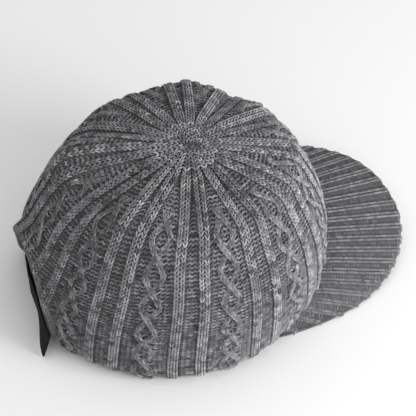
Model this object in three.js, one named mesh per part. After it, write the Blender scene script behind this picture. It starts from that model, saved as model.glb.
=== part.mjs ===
// Knitted baseball cap: a ribbed and cabled crown, a ribbed peak at the front and an
// adjustable webbing strap across the arched opening at the back.
//
// Millimetres, +Z up. The cap stands on its hem at z = 0 with the peak towards -Y, the
// opening at +Y and the wearer's right at -X. Azimuths run in degrees from the front (0)
// over the -X side (90) to the back (180) and the +X side (270).
import * as THREE from "three";

// Crown, measured outside over the knit ground between the ribs.
const CROWN_HALF_WIDTH_MM = 93.8;
const CROWN_FRONT_REACH_MM = 93.3;
const CROWN_REAR_REACH_MM = 100.3;
const CROWN_HEIGHT_MM = 105;
const CROWN_TOP_FORWARD_MM = 9.5;
const CROWN_TOP_LEAN_MM = 2.3;
const CROWN_PLAN_POWER = 1.98;
const KNIT_WALL_MM = 2.6;
const CROWN_PIT_DEPTH_MM = 2.2;
const CROWN_PIT_RADIUS_MM = 7;
const HEM_TURN_MM = 0.9;

// Knit relief of the crown: each repeat has a pair of ribs and a cable beside it.
const REPEAT_COUNT = 12;
const FIRST_PAIR_DEG = 15;
const RIB_WIDTH_MM = 6.5;
const RIB_RELIEF_MM = 1.5;
const CABLE_HALF_SPREAD_MM = 5.4;
const CABLE_STRAND_WIDTH_MM = 4.6;
const CABLE_RELIEF_MM = 1.3;

// Arched opening at the back.
const OPENING_HALF_ANGLE_DEG = 26;
const OPENING_HEIGHT_MM = 50;
const OPENING_SIDE_POWER = 2.3;
const OPENING_LIP_FLARE_MM = 5;
const OPENING_LIP_REACH_MM = 16;

// Peak.
const PEAK_CORNER_DEG = 64;
const PEAK_REACH_MM = 62.5;
const PEAK_SIDE_STEP_MM = 1.8;
const PEAK_ARCH_MM = 16;
const PEAK_PITCH_DEG = 7;
const PEAK_THICKNESS_MM = 4.4;
const PEAK_CORNER_THICKNESS_MM = 2.4;
const PEAK_ROOT_MARGIN_MM = 1.2;
const PEAK_RIB_COUNT = 27;
const PEAK_RIB_RELIEF_MM = 0.9;
const PEAK_EDGE_ROUND_MM = 1.5;

// Strap, its anchor loop and the slide that joins them.
const STRAP_WIDTH_MM = 19;
const STRAP_THICKNESS_MM = 1.4;
const STRAP_LIFT_MM = 2.2;
const STRAP_SEWN_DEG = 8;
const STRAP_TAUT_MM = 2;
const SLIDE_CENTRE_DEG = 188;
const SLIDE_THICKNESS_MM = 2.2;
const SLIDE_BAR_MM = 2.6;
const SLIDE_END_BAR_MM = 1.5;
const SLIDE_NEAR_SLOT_MM = 2.6;
const SLIDE_FAR_SLOT_MM = 6.4;
const SLIDE_FAR_SLOT_EASE_MM = 0.4;
const TAIL_END_DEG = 154;
const TAIL_FLARE_MM = 13.5;
const TAIL_LEAN_DEG = 18;
const TAIL_DROP_MM = 1.7;

// Gap between pieces that lie against each other.
const CLEARANCE_MM = 0.3;

// Crown profile from the hem (along 0) to the crown button point (along 1).
// rise: share of the crown height; reach: share of the plan reach; forward, lean: shares
// of the top's shift towards the front and towards -X.
const PROFILE = [
  { along: 0.0, rise: 0.0, reach: 0.976, forward: 0.0, lean: 0.0 },
  { along: 0.08, rise: 0.097, reach: 1.03, forward: 0.0, lean: 0.0 },
  { along: 0.25, rise: 0.327, reach: 1.007, forward: 0.17, lean: 0.25 },
  { along: 0.5, rise: 0.577, reach: 0.921, forward: 0.45, lean: 0.65 },
  { along: 0.68, rise: 0.792, reach: 0.8, forward: 0.57, lean: 0.8 },
  { along: 0.82, rise: 0.904, reach: 0.705, forward: 0.74, lean: 0.9 },
  { along: 0.93, rise: 0.982, reach: 0.3, forward: 0.94, lean: 1.0 },
  { along: 1.0, rise: 1.0, reach: 0.0, forward: 1.0, lean: 1.0 },
];

// How far the hem is drawn in around the head, or let out where negative. inset: share of
// the plan reach at the floor; it fades out at a fifth of the crown height.
const HEM_DRAW = [
  { azimuth: 0, inset: 0.0 },
  { azimuth: 35, inset: 0.0 },
  { azimuth: 58, inset: 0.045 },
  { azimuth: 80, inset: 0.002 },
  { azimuth: 110, inset: -0.022 },
  { azimuth: 130, inset: -0.016 },
  { azimuth: 150, inset: 0.0 },
  { azimuth: 180, inset: 0.0 },
  { azimuth: 210, inset: 0.0 },
  { azimuth: 230, inset: -0.016 },
  { azimuth: 250, inset: -0.022 },
  { azimuth: 280, inset: 0.002 },
  { azimuth: 302, inset: 0.045 },
  { azimuth: 325, inset: 0.0 },
  { azimuth: 360, inset: 0.0 },
];

// Rows of the outer knit above the hem. along: share of the profile; spread: share of the
// cable half spread at which its two strands lie there (small where they cross);
// cable: share of the cable relief.
const KNIT_ROWS = [
  { along: 0.018, spread: 0.6, cable: 0.3 },
  { along: 0.055, spread: 1.0, cable: 1.0 },
  { along: 0.105, spread: 0.22, cable: 1.0 },
  { along: 0.152, spread: 1.0, cable: 1.0 },
  { along: 0.2, spread: 0.22, cable: 1.0 },
  { along: 0.252, spread: 1.0, cable: 1.0 },
  { along: 0.308, spread: 0.22, cable: 1.0 },
  { along: 0.368, spread: 1.0, cable: 1.0 },
  { along: 0.432, spread: 0.22, cable: 1.0 },
  { along: 0.5, spread: 1.0, cable: 1.0 },
  { along: 0.57, spread: 0.22, cable: 0.9 },
  { along: 0.64, spread: 1.0, cable: 0.8 },
  { along: 0.705, spread: 0.22, cable: 0.7 },
  { along: 0.765, spread: 0.9, cable: 0.45 },
  { along: 0.82, spread: 0.5, cable: 0.0 },
  { along: 0.868, spread: 0.5, cable: 0.0 },
  { along: 0.908, spread: 0.5, cable: 0.0 },
  { along: 0.942, spread: 0.5, cable: 0.0 },
  { along: 0.968, spread: 0.5, cable: 0.0 },
  { along: 0.986, spread: 0.5, cable: 0.0 },
];

// Rows of the smooth inner face, as shares of the profile.
const INNER_ROWS = [0.07, 0.16, 0.27, 0.4, 0.53, 0.66, 0.78, 0.88, 0.95];

// Gathers and puffs of the slack knit near the top. azimuth and half width in degrees;
// from, to: shares of the profile between which it shows; depth: share of the knit wall,
// inward where positive.
const FOLDS = [
  { azimuth: 12, half: 9, from: 0.74, to: 0.99, depth: 0.6 },
  { azimuth: 45, half: 8, from: 0.72, to: 0.97, depth: -0.4 },
  { azimuth: 78, half: 8, from: 0.78, to: 0.98, depth: 0.55 },
  { azimuth: 110, half: 10, from: 0.72, to: 0.98, depth: 0.9 },
  { azimuth: 140, half: 9, from: 0.7, to: 0.97, depth: -0.5 },
  { azimuth: 171, half: 13, from: 0.58, to: 0.98, depth: 1.5 },
  { azimuth: 203, half: 10, from: 0.6, to: 0.96, depth: -1.4 },
  { azimuth: 226, half: 8, from: 0.62, to: 0.97, depth: 1.2 },
  { azimuth: 246, half: 9, from: 0.55, to: 0.94, depth: -0.2 },
  { azimuth: 268, half: 8, from: 0.62, to: 0.97, depth: 0.2 },
  { azimuth: 290, half: 9, from: 0.6, to: 0.95, depth: -0.7 },
  { azimuth: 318, half: 9, from: 0.66, to: 0.98, depth: 1.3 },
  { azimuth: 347, half: 8, from: 0.68, to: 0.98, depth: 1.0 },
];

// Tail of the strap from the slide to its cut end. along: share of the way round; out,
// lean, drop: shares of the tail flare, lean and drop.
const TAIL_ROWS = [
  { along: 0.2, out: 0.06, lean: 0.0, drop: 0.0 },
  { along: 0.4, out: 0.2, lean: 0.1, drop: 0.1 },
  { along: 0.58, out: 0.4, lean: 0.35, drop: 0.35 },
  { along: 0.74, out: 0.62, lean: 0.65, drop: 0.65 },
  { along: 0.88, out: 0.83, lean: 0.9, drop: 0.9 },
  { along: 1.0, out: 1.0, lean: 1.0, drop: 1.0 },
];

const PEAK_ROWS = [0.07, 0.22, 0.42, 0.63, 0.83];
const PEAK_UNDER_ROWS = [0.75, 0.4, 0.08];

const radians = (degrees) => (degrees * Math.PI) / 180;
const clamp = (value, low, high) => Math.min(high, Math.max(low, value));
const mix = (a, b, share) => a + (b - a) * share;

function smooth(low, high, value) {
  const share = clamp((value - low) / (high - low), 0, 1);
  return share * share * (3 - 2 * share);
}

// A cubic through the points that never swings past them.
function curveThrough(xs, ys) {
  const slopes = [];
  for (let i = 0; i < xs.length - 1; i += 1) {
    slopes.push((ys[i + 1] - ys[i]) / (xs[i + 1] - xs[i]));
  }
  const tangents = xs.map((_, i) => {
    if (i === 0) {
      return slopes[0];
    }
    if (i === xs.length - 1) {
      return slopes[i - 1];
    }
    const before = slopes[i - 1];
    const after = slopes[i];
    return before * after <= 0 ? 0 : (2 * before * after) / (before + after);
  });
  return (x) => {
    let i = 0;
    while (i < xs.length - 2 && x > xs[i + 1]) {
      i += 1;
    }
    const step = xs[i + 1] - xs[i];
    const s = clamp((x - xs[i]) / step, 0, 1);
    const s2 = s * s;
    const s3 = s2 * s;
    return (
      ys[i] * (2 * s3 - 3 * s2 + 1) +
      tangents[i] * step * (s3 - 2 * s2 + s) +
      ys[i + 1] * (3 * s2 - 2 * s3) +
      tangents[i + 1] * step * (s3 - s2)
    );
  };
}

const column = (table, name) => table.map((row) => row[name]);
const alongs = column(PROFILE, "along");
const riseAt = curveThrough(alongs, column(PROFILE, "rise"));
const reachAt = curveThrough(alongs, column(PROFILE, "reach"));
const forwardAt = curveThrough(alongs, column(PROFILE, "forward"));
const leanAt = curveThrough(alongs, column(PROFILE, "lean"));
const hemInsetAt = curveThrough(column(HEM_DRAW, "azimuth"), column(HEM_DRAW, "inset"));

// Share of the profile at which the crown reaches a height.
function alongAtHeight(height) {
  let low = 0;
  let high = 1;
  for (let i = 0; i < 40; i += 1) {
    const middle = (low + high) / 2;
    if (riseAt(middle) * CROWN_HEIGHT_MM < height) {
      low = middle;
    } else {
      high = middle;
    }
  }
  return (low + high) / 2;
}

// Outline of the head in plan, a slightly squared oval.
function planPoint(azimuth) {
  const c = Math.cos(radians(azimuth));
  const s = Math.sin(radians(azimuth));
  const power = CROWN_PLAN_POWER;
  const stretch = (Math.abs(c) ** power + Math.abs(s) ** power) ** (-1 / power);
  const depth = c > 0 ? CROWN_FRONT_REACH_MM : CROWN_REAR_REACH_MM;
  return new THREE.Vector2(-CROWN_HALF_WIDTH_MM * s * stretch, -depth * c * stretch);
}

const around = (azimuth) => ((azimuth % 360) + 360) % 360;
const fromFront = (azimuth) => Math.min(around(azimuth), 360 - around(azimuth));
const fromBack = (azimuth) => Math.abs(around(azimuth) - 180);

// Knit ground without its relief.
function groundPoint(azimuth, along) {
  const rise = riseAt(along);
  const inset = hemInsetAt(around(azimuth)) * (1 - smooth(0, 0.2, rise));
  const reach = reachAt(along) - inset;
  const plan = planPoint(azimuth);
  return new THREE.Vector3(
    plan.x * reach - CROWN_TOP_LEAN_MM * leanAt(along),
    plan.y * reach - CROWN_TOP_FORWARD_MM * forwardAt(along),
    CROWN_HEIGHT_MM * rise,
  );
}

function groundNormal(azimuth, along) {
  const low = Math.max(0, along - 0.004);
  const high = Math.min(0.997, along + 0.004);
  const up = groundPoint(azimuth, high).sub(groundPoint(azimuth, low));
  const side = groundPoint(azimuth + 0.4, along).sub(groundPoint(azimuth - 0.4, along));
  return up.cross(side).normalize();
}

// Slack folds and the pit where the knit is drawn together.
function foldDepth(azimuth, along) {
  let depth = 0;
  for (const fold of FOLDS) {
    const gap = around(azimuth - fold.azimuth + 180) - 180;
    const across = clamp(1 - (gap / (fold.half * 1.6)) ** 2, 0, 1) ** 2;
    const middle = mix(fold.from, fold.to, 0.6);
    const run = smooth(fold.from, middle, along) * (1 - smooth(middle, fold.to, along));
    depth += fold.depth * KNIT_WALL_MM * across * run;
  }
  return depth;
}

function pitDepth(azimuth, along) {
  const ground = groundPoint(azimuth, along);
  const apex = groundPoint(azimuth, 1);
  const distance = Math.hypot(ground.x - apex.x, ground.y - apex.y);
  return CROWN_PIT_DEPTH_MM * (1 - smooth(0, CROWN_PIT_RADIUS_MM, distance));
}

// Arched opening: height of its edge over an azimuth, 0 outside it.
function openingHeight(azimuth) {
  const share = fromBack(azimuth) / OPENING_HALF_ANGLE_DEG;
  return share >= 1 ? 0 : OPENING_HEIGHT_MM * Math.sqrt(1 - share ** OPENING_SIDE_POWER);
}

function lipFlare(azimuth, along) {
  const height = riseAt(along) * CROWN_HEIGHT_MM;
  const above = clamp((height - openingHeight(azimuth)) / OPENING_LIP_REACH_MM, 0, 1);
  const inside = 1 - smooth(0.7, 1.15, fromBack(azimuth) / OPENING_HALF_ANGLE_DEG);
  return OPENING_LIP_FLARE_MM * inside * (1 - above) ** 2;
}

// Peak: the underside rises in the middle and sinks towards the front edge.
const peakCorner = planPoint(PEAK_CORNER_DEG);
const seamReach = PROFILE[0].reach;
const peakHalfWidth = Math.abs(peakCorner.x) * seamReach + PEAK_SIDE_STEP_MM;

function archPart(x) {
  return PEAK_ARCH_MM * (1 - clamp(Math.abs(x) / peakHalfWidth, 0, 1) ** 2);
}

function peakThickness(x) {
  const share = smooth(0, PEAK_ARCH_MM * 0.4, archPart(x));
  return mix(PEAK_CORNER_THICKNESS_MM, PEAK_THICKNESS_MM, share);
}

function peakUnder(x, outward) {
  const side = clamp(Math.abs(x) / peakHalfWidth, 0, 1);
  const drop = outward * Math.tan(radians(PEAK_PITCH_DEG)) * (1 - 0.5 * side * side);
  return Math.max(0, archPart(x) - drop);
}

const peakSeatHeight = (x) => peakUnder(x, 0) + peakThickness(x) + CLEARANCE_MM;

// Height of the crown's lower edge at a plan point: on the peak in front, on the floor at
// the sides, and up over the opening at the back.
function rimHeight(azimuth, x) {
  const past = smooth(PEAK_CORNER_DEG + 1, PEAK_CORNER_DEG + 9, fromFront(azimuth));
  const front = past >= 1 ? 0 : peakSeatHeight(x) * (1 - past);
  return Math.max(front, openingHeight(azimuth));
}

function rimAlong(azimuth) {
  const reach = seamReach - hemInsetAt(around(azimuth));
  return alongAtHeight(rimHeight(azimuth, planPoint(azimuth).x * reach));
}

// A row's share of the profile, squeezed upwards above a raised edge.
function squeezed(along, edge) {
  const settle = 0.62;
  return along >= settle ? along : edge + (along * (settle - edge)) / settle;
}

// Collects points and triangles of one closed skin.
class Skin {
  constructor() {
    this.points = [];
    this.faces = [];
  }

  point(x, y, z) {
    this.points.push(x, y, z);
    return this.points.length / 3 - 1;
  }

  at(vector) {
    return this.point(vector.x, vector.y, vector.z);
  }

  chain(vectors, shares) {
    return vectors.map((vector, i) => ({ id: this.at(vector), share: shares[i] }));
  }

  face(a, b, c) {
    this.faces.push(a, b, c);
  }

  // Joins two chains of points with triangles, whatever their counts.
  join(first, second, closed = false, flip = false) {
    const wrap = (list) => [...list, { id: list[0].id, share: list[0].share + 1 }];
    const a = closed ? wrap(first) : first;
    const b = closed ? wrap(second) : second;
    let i = 0;
    let j = 0;
    while (i < a.length - 1 || j < b.length - 1) {
      const nextA = i < a.length - 1 ? a[i + 1].share : Infinity;
      const nextB = j < b.length - 1 ? b[j + 1].share : Infinity;
      const corner = nextA <= nextB ? a[i + 1].id : b[j + 1].id;
      if (flip) {
        this.face(corner, a[i].id, b[j].id);
      } else {
        this.face(a[i].id, corner, b[j].id);
      }
      if (nextA <= nextB) {
        i += 1;
      } else {
        j += 1;
      }
    }
  }

  fan(ring, tip, flip = false) {
    for (let i = 0; i < ring.length; i += 1) {
      const next = ring[(i + 1) % ring.length].id;
      if (flip) {
        this.face(next, ring[i].id, tip);
      } else {
        this.face(ring[i].id, next, tip);
      }
    }
  }

  geometry() {
    const p = this.points;
    const f = this.faces;
    let volume = 0;
    for (let i = 0; i < f.length; i += 3) {
      const [a, b, c] = [f[i] * 3, f[i + 1] * 3, f[i + 2] * 3];
      volume +=
        p[a] * (p[b + 1] * p[c + 2] - p[b + 2] * p[c + 1]) -
        p[a + 1] * (p[b] * p[c + 2] - p[b + 2] * p[c]) +
        p[a + 2] * (p[b] * p[c + 1] - p[b + 1] * p[c]);
    }
    const index = [];
    for (let i = 0; i < f.length; i += 3) {
      if (volume > 0) {
        index.push(f[i], f[i + 1], f[i + 2]);
      } else {
        index.push(f[i], f[i + 2], f[i + 1]);
      }
    }
    const geometry = new THREE.BufferGeometry();
    geometry.setAttribute("position", new THREE.Float32BufferAttribute(p, 3));
    geometry.setIndex(index);
    geometry.computeVertexNormals();
    return geometry;
  }
}

// Places across one repeat of the knit, from one cable's middle to the next one's, as
// distances from the middle of the rib pair, with the relief of each.
function repeatPlaces(width, row) {
  const rib = Math.min(RIB_WIDTH_MM, width * 0.44);
  const gap = (width - 2 * rib) * 0.25;
  const panel = width - 2 * rib - gap;
  const spread = Math.min(CABLE_HALF_SPREAD_MM * row.spread, panel * 0.3);
  const base = Math.min(spread + CABLE_STRAND_WIDTH_MM * 0.62, panel * 0.47);
  const strand = CABLE_RELIEF_MM * row.cable;
  const crossing = strand * (1 - smooth(0.3, 0.6, row.spread));
  const ribs = RIB_RELIEF_MM * clamp(width / (RIB_WIDTH_MM * 2.4), 0.25, 1);
  const inner = gap / 2;
  return [
    { off: -width / 2, relief: crossing },
    { off: -width / 2 + spread, relief: strand },
    { off: -width / 2 + base, relief: 0 },
    { off: -inner - rib, relief: 0 },
    { off: -inner - rib * 0.72, relief: ribs },
    { off: -inner - rib * 0.28, relief: ribs },
    { off: -inner, relief: 0 },
    { off: inner, relief: 0 },
    { off: inner + rib * 0.28, relief: ribs },
    { off: inner + rib * 0.72, relief: ribs },
    { off: inner + rib, relief: 0 },
    { off: width / 2 - base, relief: 0 },
    { off: width / 2 - spread, relief: strand },
  ];
}

// Azimuths and reliefs right round the crown in one knit row, with extra columns where
// the opening's sides rise steeply.
const LIMB_SHARES = [0.55, 0.82, 0.92];
const repeatDeg = 360 / REPEAT_COUNT;

function knitRow(row) {
  const reach = reachAt(row.along);
  const girth = 2 * Math.PI * CROWN_HALF_WIDTH_MM * Math.max(reach, 0.02) * 1.035;
  const width = girth / REPEAT_COUNT;
  const places = repeatPlaces(width, row);
  const columns = [];
  for (let k = 0; k < REPEAT_COUNT; k += 1) {
    const middle = FIRST_PAIR_DEG + k * repeatDeg;
    for (const place of places) {
      const azimuth = middle + (place.off / width) * repeatDeg;
      columns.push({ azimuth, relief: place.relief });
    }
  }
  const addLimb = (first, second, shares) => {
    const from = columns[first];
    const to = columns[second];
    const extra = shares.map((share) => ({
      azimuth: mix(from.azimuth, to.azimuth, share),
      relief: mix(from.relief, to.relief, share),
    }));
    columns.splice(first + 1, 0, ...extra);
  };
  const perRepeat = places.length;
  const nearPair = Math.round((165 - FIRST_PAIR_DEG) / repeatDeg);
  const farPair = Math.round((195 - FIRST_PAIR_DEG) / repeatDeg);
  addLimb(farPair * perRepeat + 10, farPair * perRepeat + 11, LIMB_SHARES);
  const mirrored = LIMB_SHARES.map((share) => 1 - share).reverse();
  addLimb(nearPair * perRepeat + 2, nearPair * perRepeat + 3, mirrored);
  return columns;
}

function outerVector(azimuth, along, relief) {
  const lift = relief - foldDepth(azimuth, along) + lipFlare(azimuth, along);
  const vector = groundPoint(azimuth, along);
  vector.addScaledVector(groundNormal(azimuth, along), lift);
  vector.z -= pitDepth(azimuth, along);
  return vector;
}

function innerVector(azimuth, along) {
  const sink = KNIT_WALL_MM + foldDepth(azimuth, along) - lipFlare(azimuth, along);
  const vector = groundPoint(azimuth, along);
  vector.addScaledVector(groundNormal(azimuth, along), -sink);
  vector.z -= pitDepth(azimuth, along);
  return vector;
}

function crownGeometry() {
  const skin = new Skin();
  const hemRow = { along: 0, spread: 0.6, cable: 0 };
  const bottom = knitRow(hemRow);
  const edges = bottom.map((place) => rimAlong(place.azimuth));
  const shares = bottom.map((_, i) => i / bottom.length);
  const outer = [];
  for (const row of KNIT_ROWS) {
    const columns = knitRow(row);
    const vectors = columns.map((place, i) => {
      const along = squeezed(row.along, edges[i]);
      return outerVector(place.azimuth, along, place.relief);
    });
    outer.unshift(skin.chain(vectors, shares));
  }
  // The turned hem: its outer edge, then the flat strip that it stands on.
  const turned = bottom.map((place, i) => {
    const vector = outerVector(place.azimuth, edges[i], RIB_RELIEF_MM * 0.3);
    vector.addScaledVector(groundNormal(place.azimuth, edges[i]), -HEM_TURN_MM);
    vector.z = rimHeight(place.azimuth, vector.x);
    return vector;
  });
  outer.push(skin.chain(turned, shares));
  const third = (_, i) => i % 3 === 0;
  const innerShares = shares.filter(third);
  const innerPlaces = bottom.filter(third);
  const innerEdges = edges.filter(third);
  const under = bottom.map((place, i) => {
    const vector = innerVector(place.azimuth, edges[i]);
    vector.z = rimHeight(place.azimuth, vector.x);
    return vector;
  });
  const inner = [skin.chain(under, shares)];
  for (const row of INNER_ROWS) {
    const vectors = innerPlaces.map((place, i) => {
      return innerVector(place.azimuth, squeezed(row, innerEdges[i]));
    });
    inner.push(skin.chain(vectors, innerShares));
  }
  const rings = [...outer, ...inner];
  for (let i = 0; i < rings.length - 1; i += 1) {
    skin.join(rings[i], rings[i + 1], true);
  }
  const top = groundPoint(0, 1);
  const outerTip = skin.point(top.x, top.y, top.z - CROWN_PIT_DEPTH_MM);
  const innerTip = skin.point(top.x, top.y, top.z - CROWN_PIT_DEPTH_MM - KNIT_WALL_MM);
  skin.fan(rings[0], outerTip, true);
  skin.fan(rings[rings.length - 1], innerTip);
  return skin.geometry();
}

// Peak outline: the root under the crown's wall, the seam at its face, the outer edge.
function peakLines(u) {
  const azimuth = -PEAK_CORNER_DEG * u;
  const plan = planPoint(azimuth);
  const inset = hemInsetAt(around(azimuth));
  const seam = plan.clone().multiplyScalar(seamReach - inset);
  const inward = KNIT_WALL_MM + PEAK_ROOT_MARGIN_MM;
  const root = seam.clone().multiplyScalar(1 - inward / seam.length());
  const turn = (u * Math.PI) / 2;
  const tip = CROWN_FRONT_REACH_MM * seamReach + PEAK_REACH_MM;
  const cornerY = Math.abs(peakCorner.y) * seamReach;
  const edge = new THREE.Vector2(
    Math.sign(u) * peakHalfWidth * Math.abs(Math.sin(turn)) ** 0.9,
    -cornerY - (tip - cornerY) * Math.abs(Math.cos(turn)) ** 0.8,
  );
  return { root, seam, edge };
}

function peakGeometry() {
  const skin = new Skin();
  const pitch = 2 / PEAK_RIB_COUNT;
  const ridge = 0.2;
  const columns = [];
  for (let i = 0; i < PEAK_RIB_COUNT; i += 1) {
    const middle = -1 + (i + 0.5) * pitch;
    columns.push({ u: middle - pitch / 2, rib: 0 });
    columns.push({ u: middle - pitch * ridge, rib: 1 });
    columns.push({ u: middle + pitch * ridge, rib: 1 });
  }
  columns.push({ u: 1, rib: 0 });
  const shares = columns.map((place) => (place.u + 1) / 2);
  const lines = columns.map((place) => peakLines(place.u));
  const inPlan = (line, share) => line.seam.clone().lerp(line.edge, share);
  const outward = (line, plan) => plan.distanceTo(line.seam);
  const insetShare = (line) => {
    const length = line.edge.distanceTo(line.seam);
    return clamp(1 - PEAK_EDGE_ROUND_MM / length, 0.5, 1);
  };
  const topPoint = (line, share, relief) => {
    const plan = inPlan(line, share);
    const run = outward(line, plan);
    const shown = relief * smooth(RIB_WIDTH_MM, RIB_WIDTH_MM * 2, run);
    const z = peakUnder(plan.x, run) + peakThickness(plan.x) + shown;
    return new THREE.Vector3(plan.x, plan.y, z);
  };
  const underPoint = (line, plan) => {
    return new THREE.Vector3(plan.x, plan.y, peakUnder(plan.x, outward(line, plan)));
  };
  const rows = [];
  const top = lines.map((line) => {
    const z = peakUnder(line.root.x, 0) + peakThickness(line.root.x);
    return new THREE.Vector3(line.root.x, line.root.y, z);
  });
  rows.push(skin.chain(top, shares));
  rows.push(skin.chain(lines.map((line) => topPoint(line, 0, 0)), shares));
  for (const row of [...PEAK_ROWS, 1]) {
    const vectors = lines.map((line, i) => {
      return topPoint(line, row * insetShare(line), columns[i].rib * PEAK_RIB_RELIEF_MM);
    });
    rows.push(skin.chain(vectors, shares));
  }
  const rim = lines.map((line, i) => {
    const plan = line.edge.clone();
    const way = line.edge.clone().sub(line.seam).normalize();
    plan.addScaledVector(way, columns[i].rib * PEAK_RIB_RELIEF_MM * 0.5);
    const run = outward(line, line.edge);
    const z = peakUnder(line.edge.x, run) + peakThickness(line.edge.x) * 0.5;
    return new THREE.Vector3(plan.x, plan.y, z);
  });
  rows.push(skin.chain(rim, shares));
  const third = (_, i) => i % 3 === 0;
  const underLines = lines.filter(third);
  const underShares = shares.filter(third);
  const under = [];
  for (const row of [1, ...PEAK_UNDER_ROWS]) {
    const vectors = underLines.map((line) => {
      return underPoint(line, inPlan(line, row * insetShare(line)));
    });
    under.push(skin.chain(vectors, underShares));
  }
  const rootUnder = underLines.map((line) => {
    return new THREE.Vector3(line.root.x, line.root.y, peakUnder(line.root.x, 0));
  });
  under.push(skin.chain(rootUnder, underShares));
  const loop = [...rows, ...under];
  for (let i = 0; i < loop.length; i += 1) {
    skin.join(loop[i], loop[(i + 1) % loop.length]);
  }
  const side = (list, pick) => {
    const last = list.length - 1;
    return list.map((chain, i) => ({ id: pick(chain).id, share: i / last }));
  };
  const first = (chain) => chain[0];
  const last = (chain) => chain[chain.length - 1];
  const back = [...under].reverse();
  skin.join(side(rows, first), side(back, first));
  skin.join(side(rows, last), side(back, last), false, true);
  return skin.geometry();
}

// A webbing ribbon through centre points, each with its lean about the run of the band.
function ribbonGeometry(places) {
  const skin = new Skin();
  const half = STRAP_WIDTH_MM / 2;
  const rings = places.map((place, i) => {
    const before = places[Math.max(0, i - 1)].centre;
    const after = places[Math.min(places.length - 1, i + 1)].centre;
    const run = after.clone().sub(before).normalize();
    const face = new THREE.Vector3(run.y, -run.x, 0).normalize();
    const up = new THREE.Vector3(0, 0, 1);
    up.applyAxisAngle(run, place.lean);
    face.applyAxisAngle(run, place.lean);
    const corner = (tall, thick) => {
      return place.centre
        .clone()
        .addScaledVector(up, tall * half)
        .addScaledVector(face, (thick * STRAP_THICKNESS_MM) / 2);
    };
    const corners = [corner(1, 1), corner(1, -1), corner(-1, -1), corner(-1, 1)];
    return skin.chain(corners, [0, 0.25, 0.5, 0.75]);
  });
  for (let i = 0; i < rings.length - 1; i += 1) {
    skin.join(rings[i], rings[i + 1], true);
  }
  const [a, b, c, d] = rings[0].map((place) => place.id);
  skin.face(c, b, a);
  skin.face(d, c, a);
  const [e, f, g, h] = rings[rings.length - 1].map((place) => place.id);
  skin.face(e, f, g);
  skin.face(e, g, h);
  return skin.geometry();
}

// Strap course: the band lies against the inside of the hem, crosses the opening a little
// inside the same oval, and passes the slide on a straight.
const layerOffset = (SLIDE_THICKNESS_MM + STRAP_THICKNESS_MM) / 2 + CLEARANCE_MM;
const strapMiddleZ = STRAP_LIFT_MM + STRAP_WIDTH_MM / 2;
const wallGap = KNIT_WALL_MM + CLEARANCE_MM + STRAP_THICKNESS_MM / 2;

function courseOval(azimuth, outward) {
  const plan = planPoint(azimuth).multiplyScalar(seamReach);
  const length = plan.length();
  const across = clamp(1 - (fromBack(azimuth) / OPENING_HALF_ANGLE_DEG) ** 2, 0, 1);
  const inward = wallGap + STRAP_TAUT_MM * across;
  return plan.multiplyScalar((length - inward + outward) / length);
}

const slideOrigin = courseOval(SLIDE_CENTRE_DEG, layerOffset);
const slideRun = courseOval(SLIDE_CENTRE_DEG + 3, 0)
  .sub(courseOval(SLIDE_CENTRE_DEG - 3, 0))
  .normalize();
const slideOut = new THREE.Vector2(-slideRun.y, slideRun.x);
const slideLength = SLIDE_BAR_MM * 3 + SLIDE_NEAR_SLOT_MM + SLIDE_FAR_SLOT_MM;
const nearEnd = -slideLength / 2;
const middleBarEnd = nearEnd + SLIDE_BAR_MM * 2 + SLIDE_NEAR_SLOT_MM;
const farBarStart = middleBarEnd + SLIDE_FAR_SLOT_MM;

function slidePlan(run, out) {
  return slideOrigin.clone().addScaledVector(slideRun, run).addScaledVector(slideOut, out);
}

function bandPlace(plan, lean = 0, z = strapMiddleZ) {
  return { centre: new THREE.Vector3(plan.x, plan.y, z), lean };
}

const BEND_STEPS = 6;

function bend(centreRun, way) {
  const places = [];
  for (let i = 0; i <= BEND_STEPS; i += 1) {
    const angle = -Math.PI / 2 + (Math.PI * i) / BEND_STEPS;
    const run = centreRun + way * layerOffset * Math.cos(angle);
    places.push(bandPlace(slidePlan(run, layerOffset * Math.sin(angle))));
  }
  return places;
}

function strapPlaces() {
  const places = [];
  const start = 180 - OPENING_HALF_ANGLE_DEG - STRAP_SEWN_DEG;
  const slideReach = (slideLength / 2 + STRAP_WIDTH_MM * 0.4) / CROWN_REAR_REACH_MM;
  const stop = SLIDE_CENTRE_DEG - (slideReach * 180) / Math.PI;
  const count = 9;
  for (let i = 0; i <= count; i += 1) {
    places.push(bandPlace(courseOval(mix(start, stop, i / count), 0)));
  }
  places.push(bandPlace(slidePlan(nearEnd, -layerOffset)));
  places.push(...bend(middleBarEnd, 1));
  places.push(bandPlace(slidePlan(nearEnd, layerOffset)));
  for (const row of TAIL_ROWS) {
    const azimuth = mix(stop, TAIL_END_DEG, row.along);
    const out = 2 * layerOffset + TAIL_FLARE_MM * row.out;
    const z = strapMiddleZ - TAIL_DROP_MM * row.drop;
    const lean = -radians(TAIL_LEAN_DEG) * row.lean;
    places.push(bandPlace(courseOval(azimuth, out), lean, z));
  }
  return places;
}

function anchorPlaces() {
  const start = 180 + OPENING_HALF_ANGLE_DEG + STRAP_SEWN_DEG;
  const slideReach = (slideLength / 2 + STRAP_WIDTH_MM * 0.25) / CROWN_REAR_REACH_MM;
  const stop = SLIDE_CENTRE_DEG + (slideReach * 180) / Math.PI;
  const count = 4;
  const apart = STRAP_THICKNESS_MM + CLEARANCE_MM;
  const inner = [];
  const outer = [];
  for (let i = 0; i <= count; i += 1) {
    const share = i / count;
    const azimuth = mix(start, stop, share);
    inner.push(bandPlace(courseOval(azimuth, mix(-apart, 0, share))));
    outer.push(bandPlace(courseOval(azimuth, mix(0, 2 * layerOffset, share ** 2))));
  }
  return [
    ...inner,
    bandPlace(slidePlan(farBarStart + SLIDE_BAR_MM, -layerOffset)),
    ...bend(farBarStart, -1),
    bandPlace(slidePlan(farBarStart + SLIDE_BAR_MM, layerOffset)),
    ...outer.reverse(),
  ];
}

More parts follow.
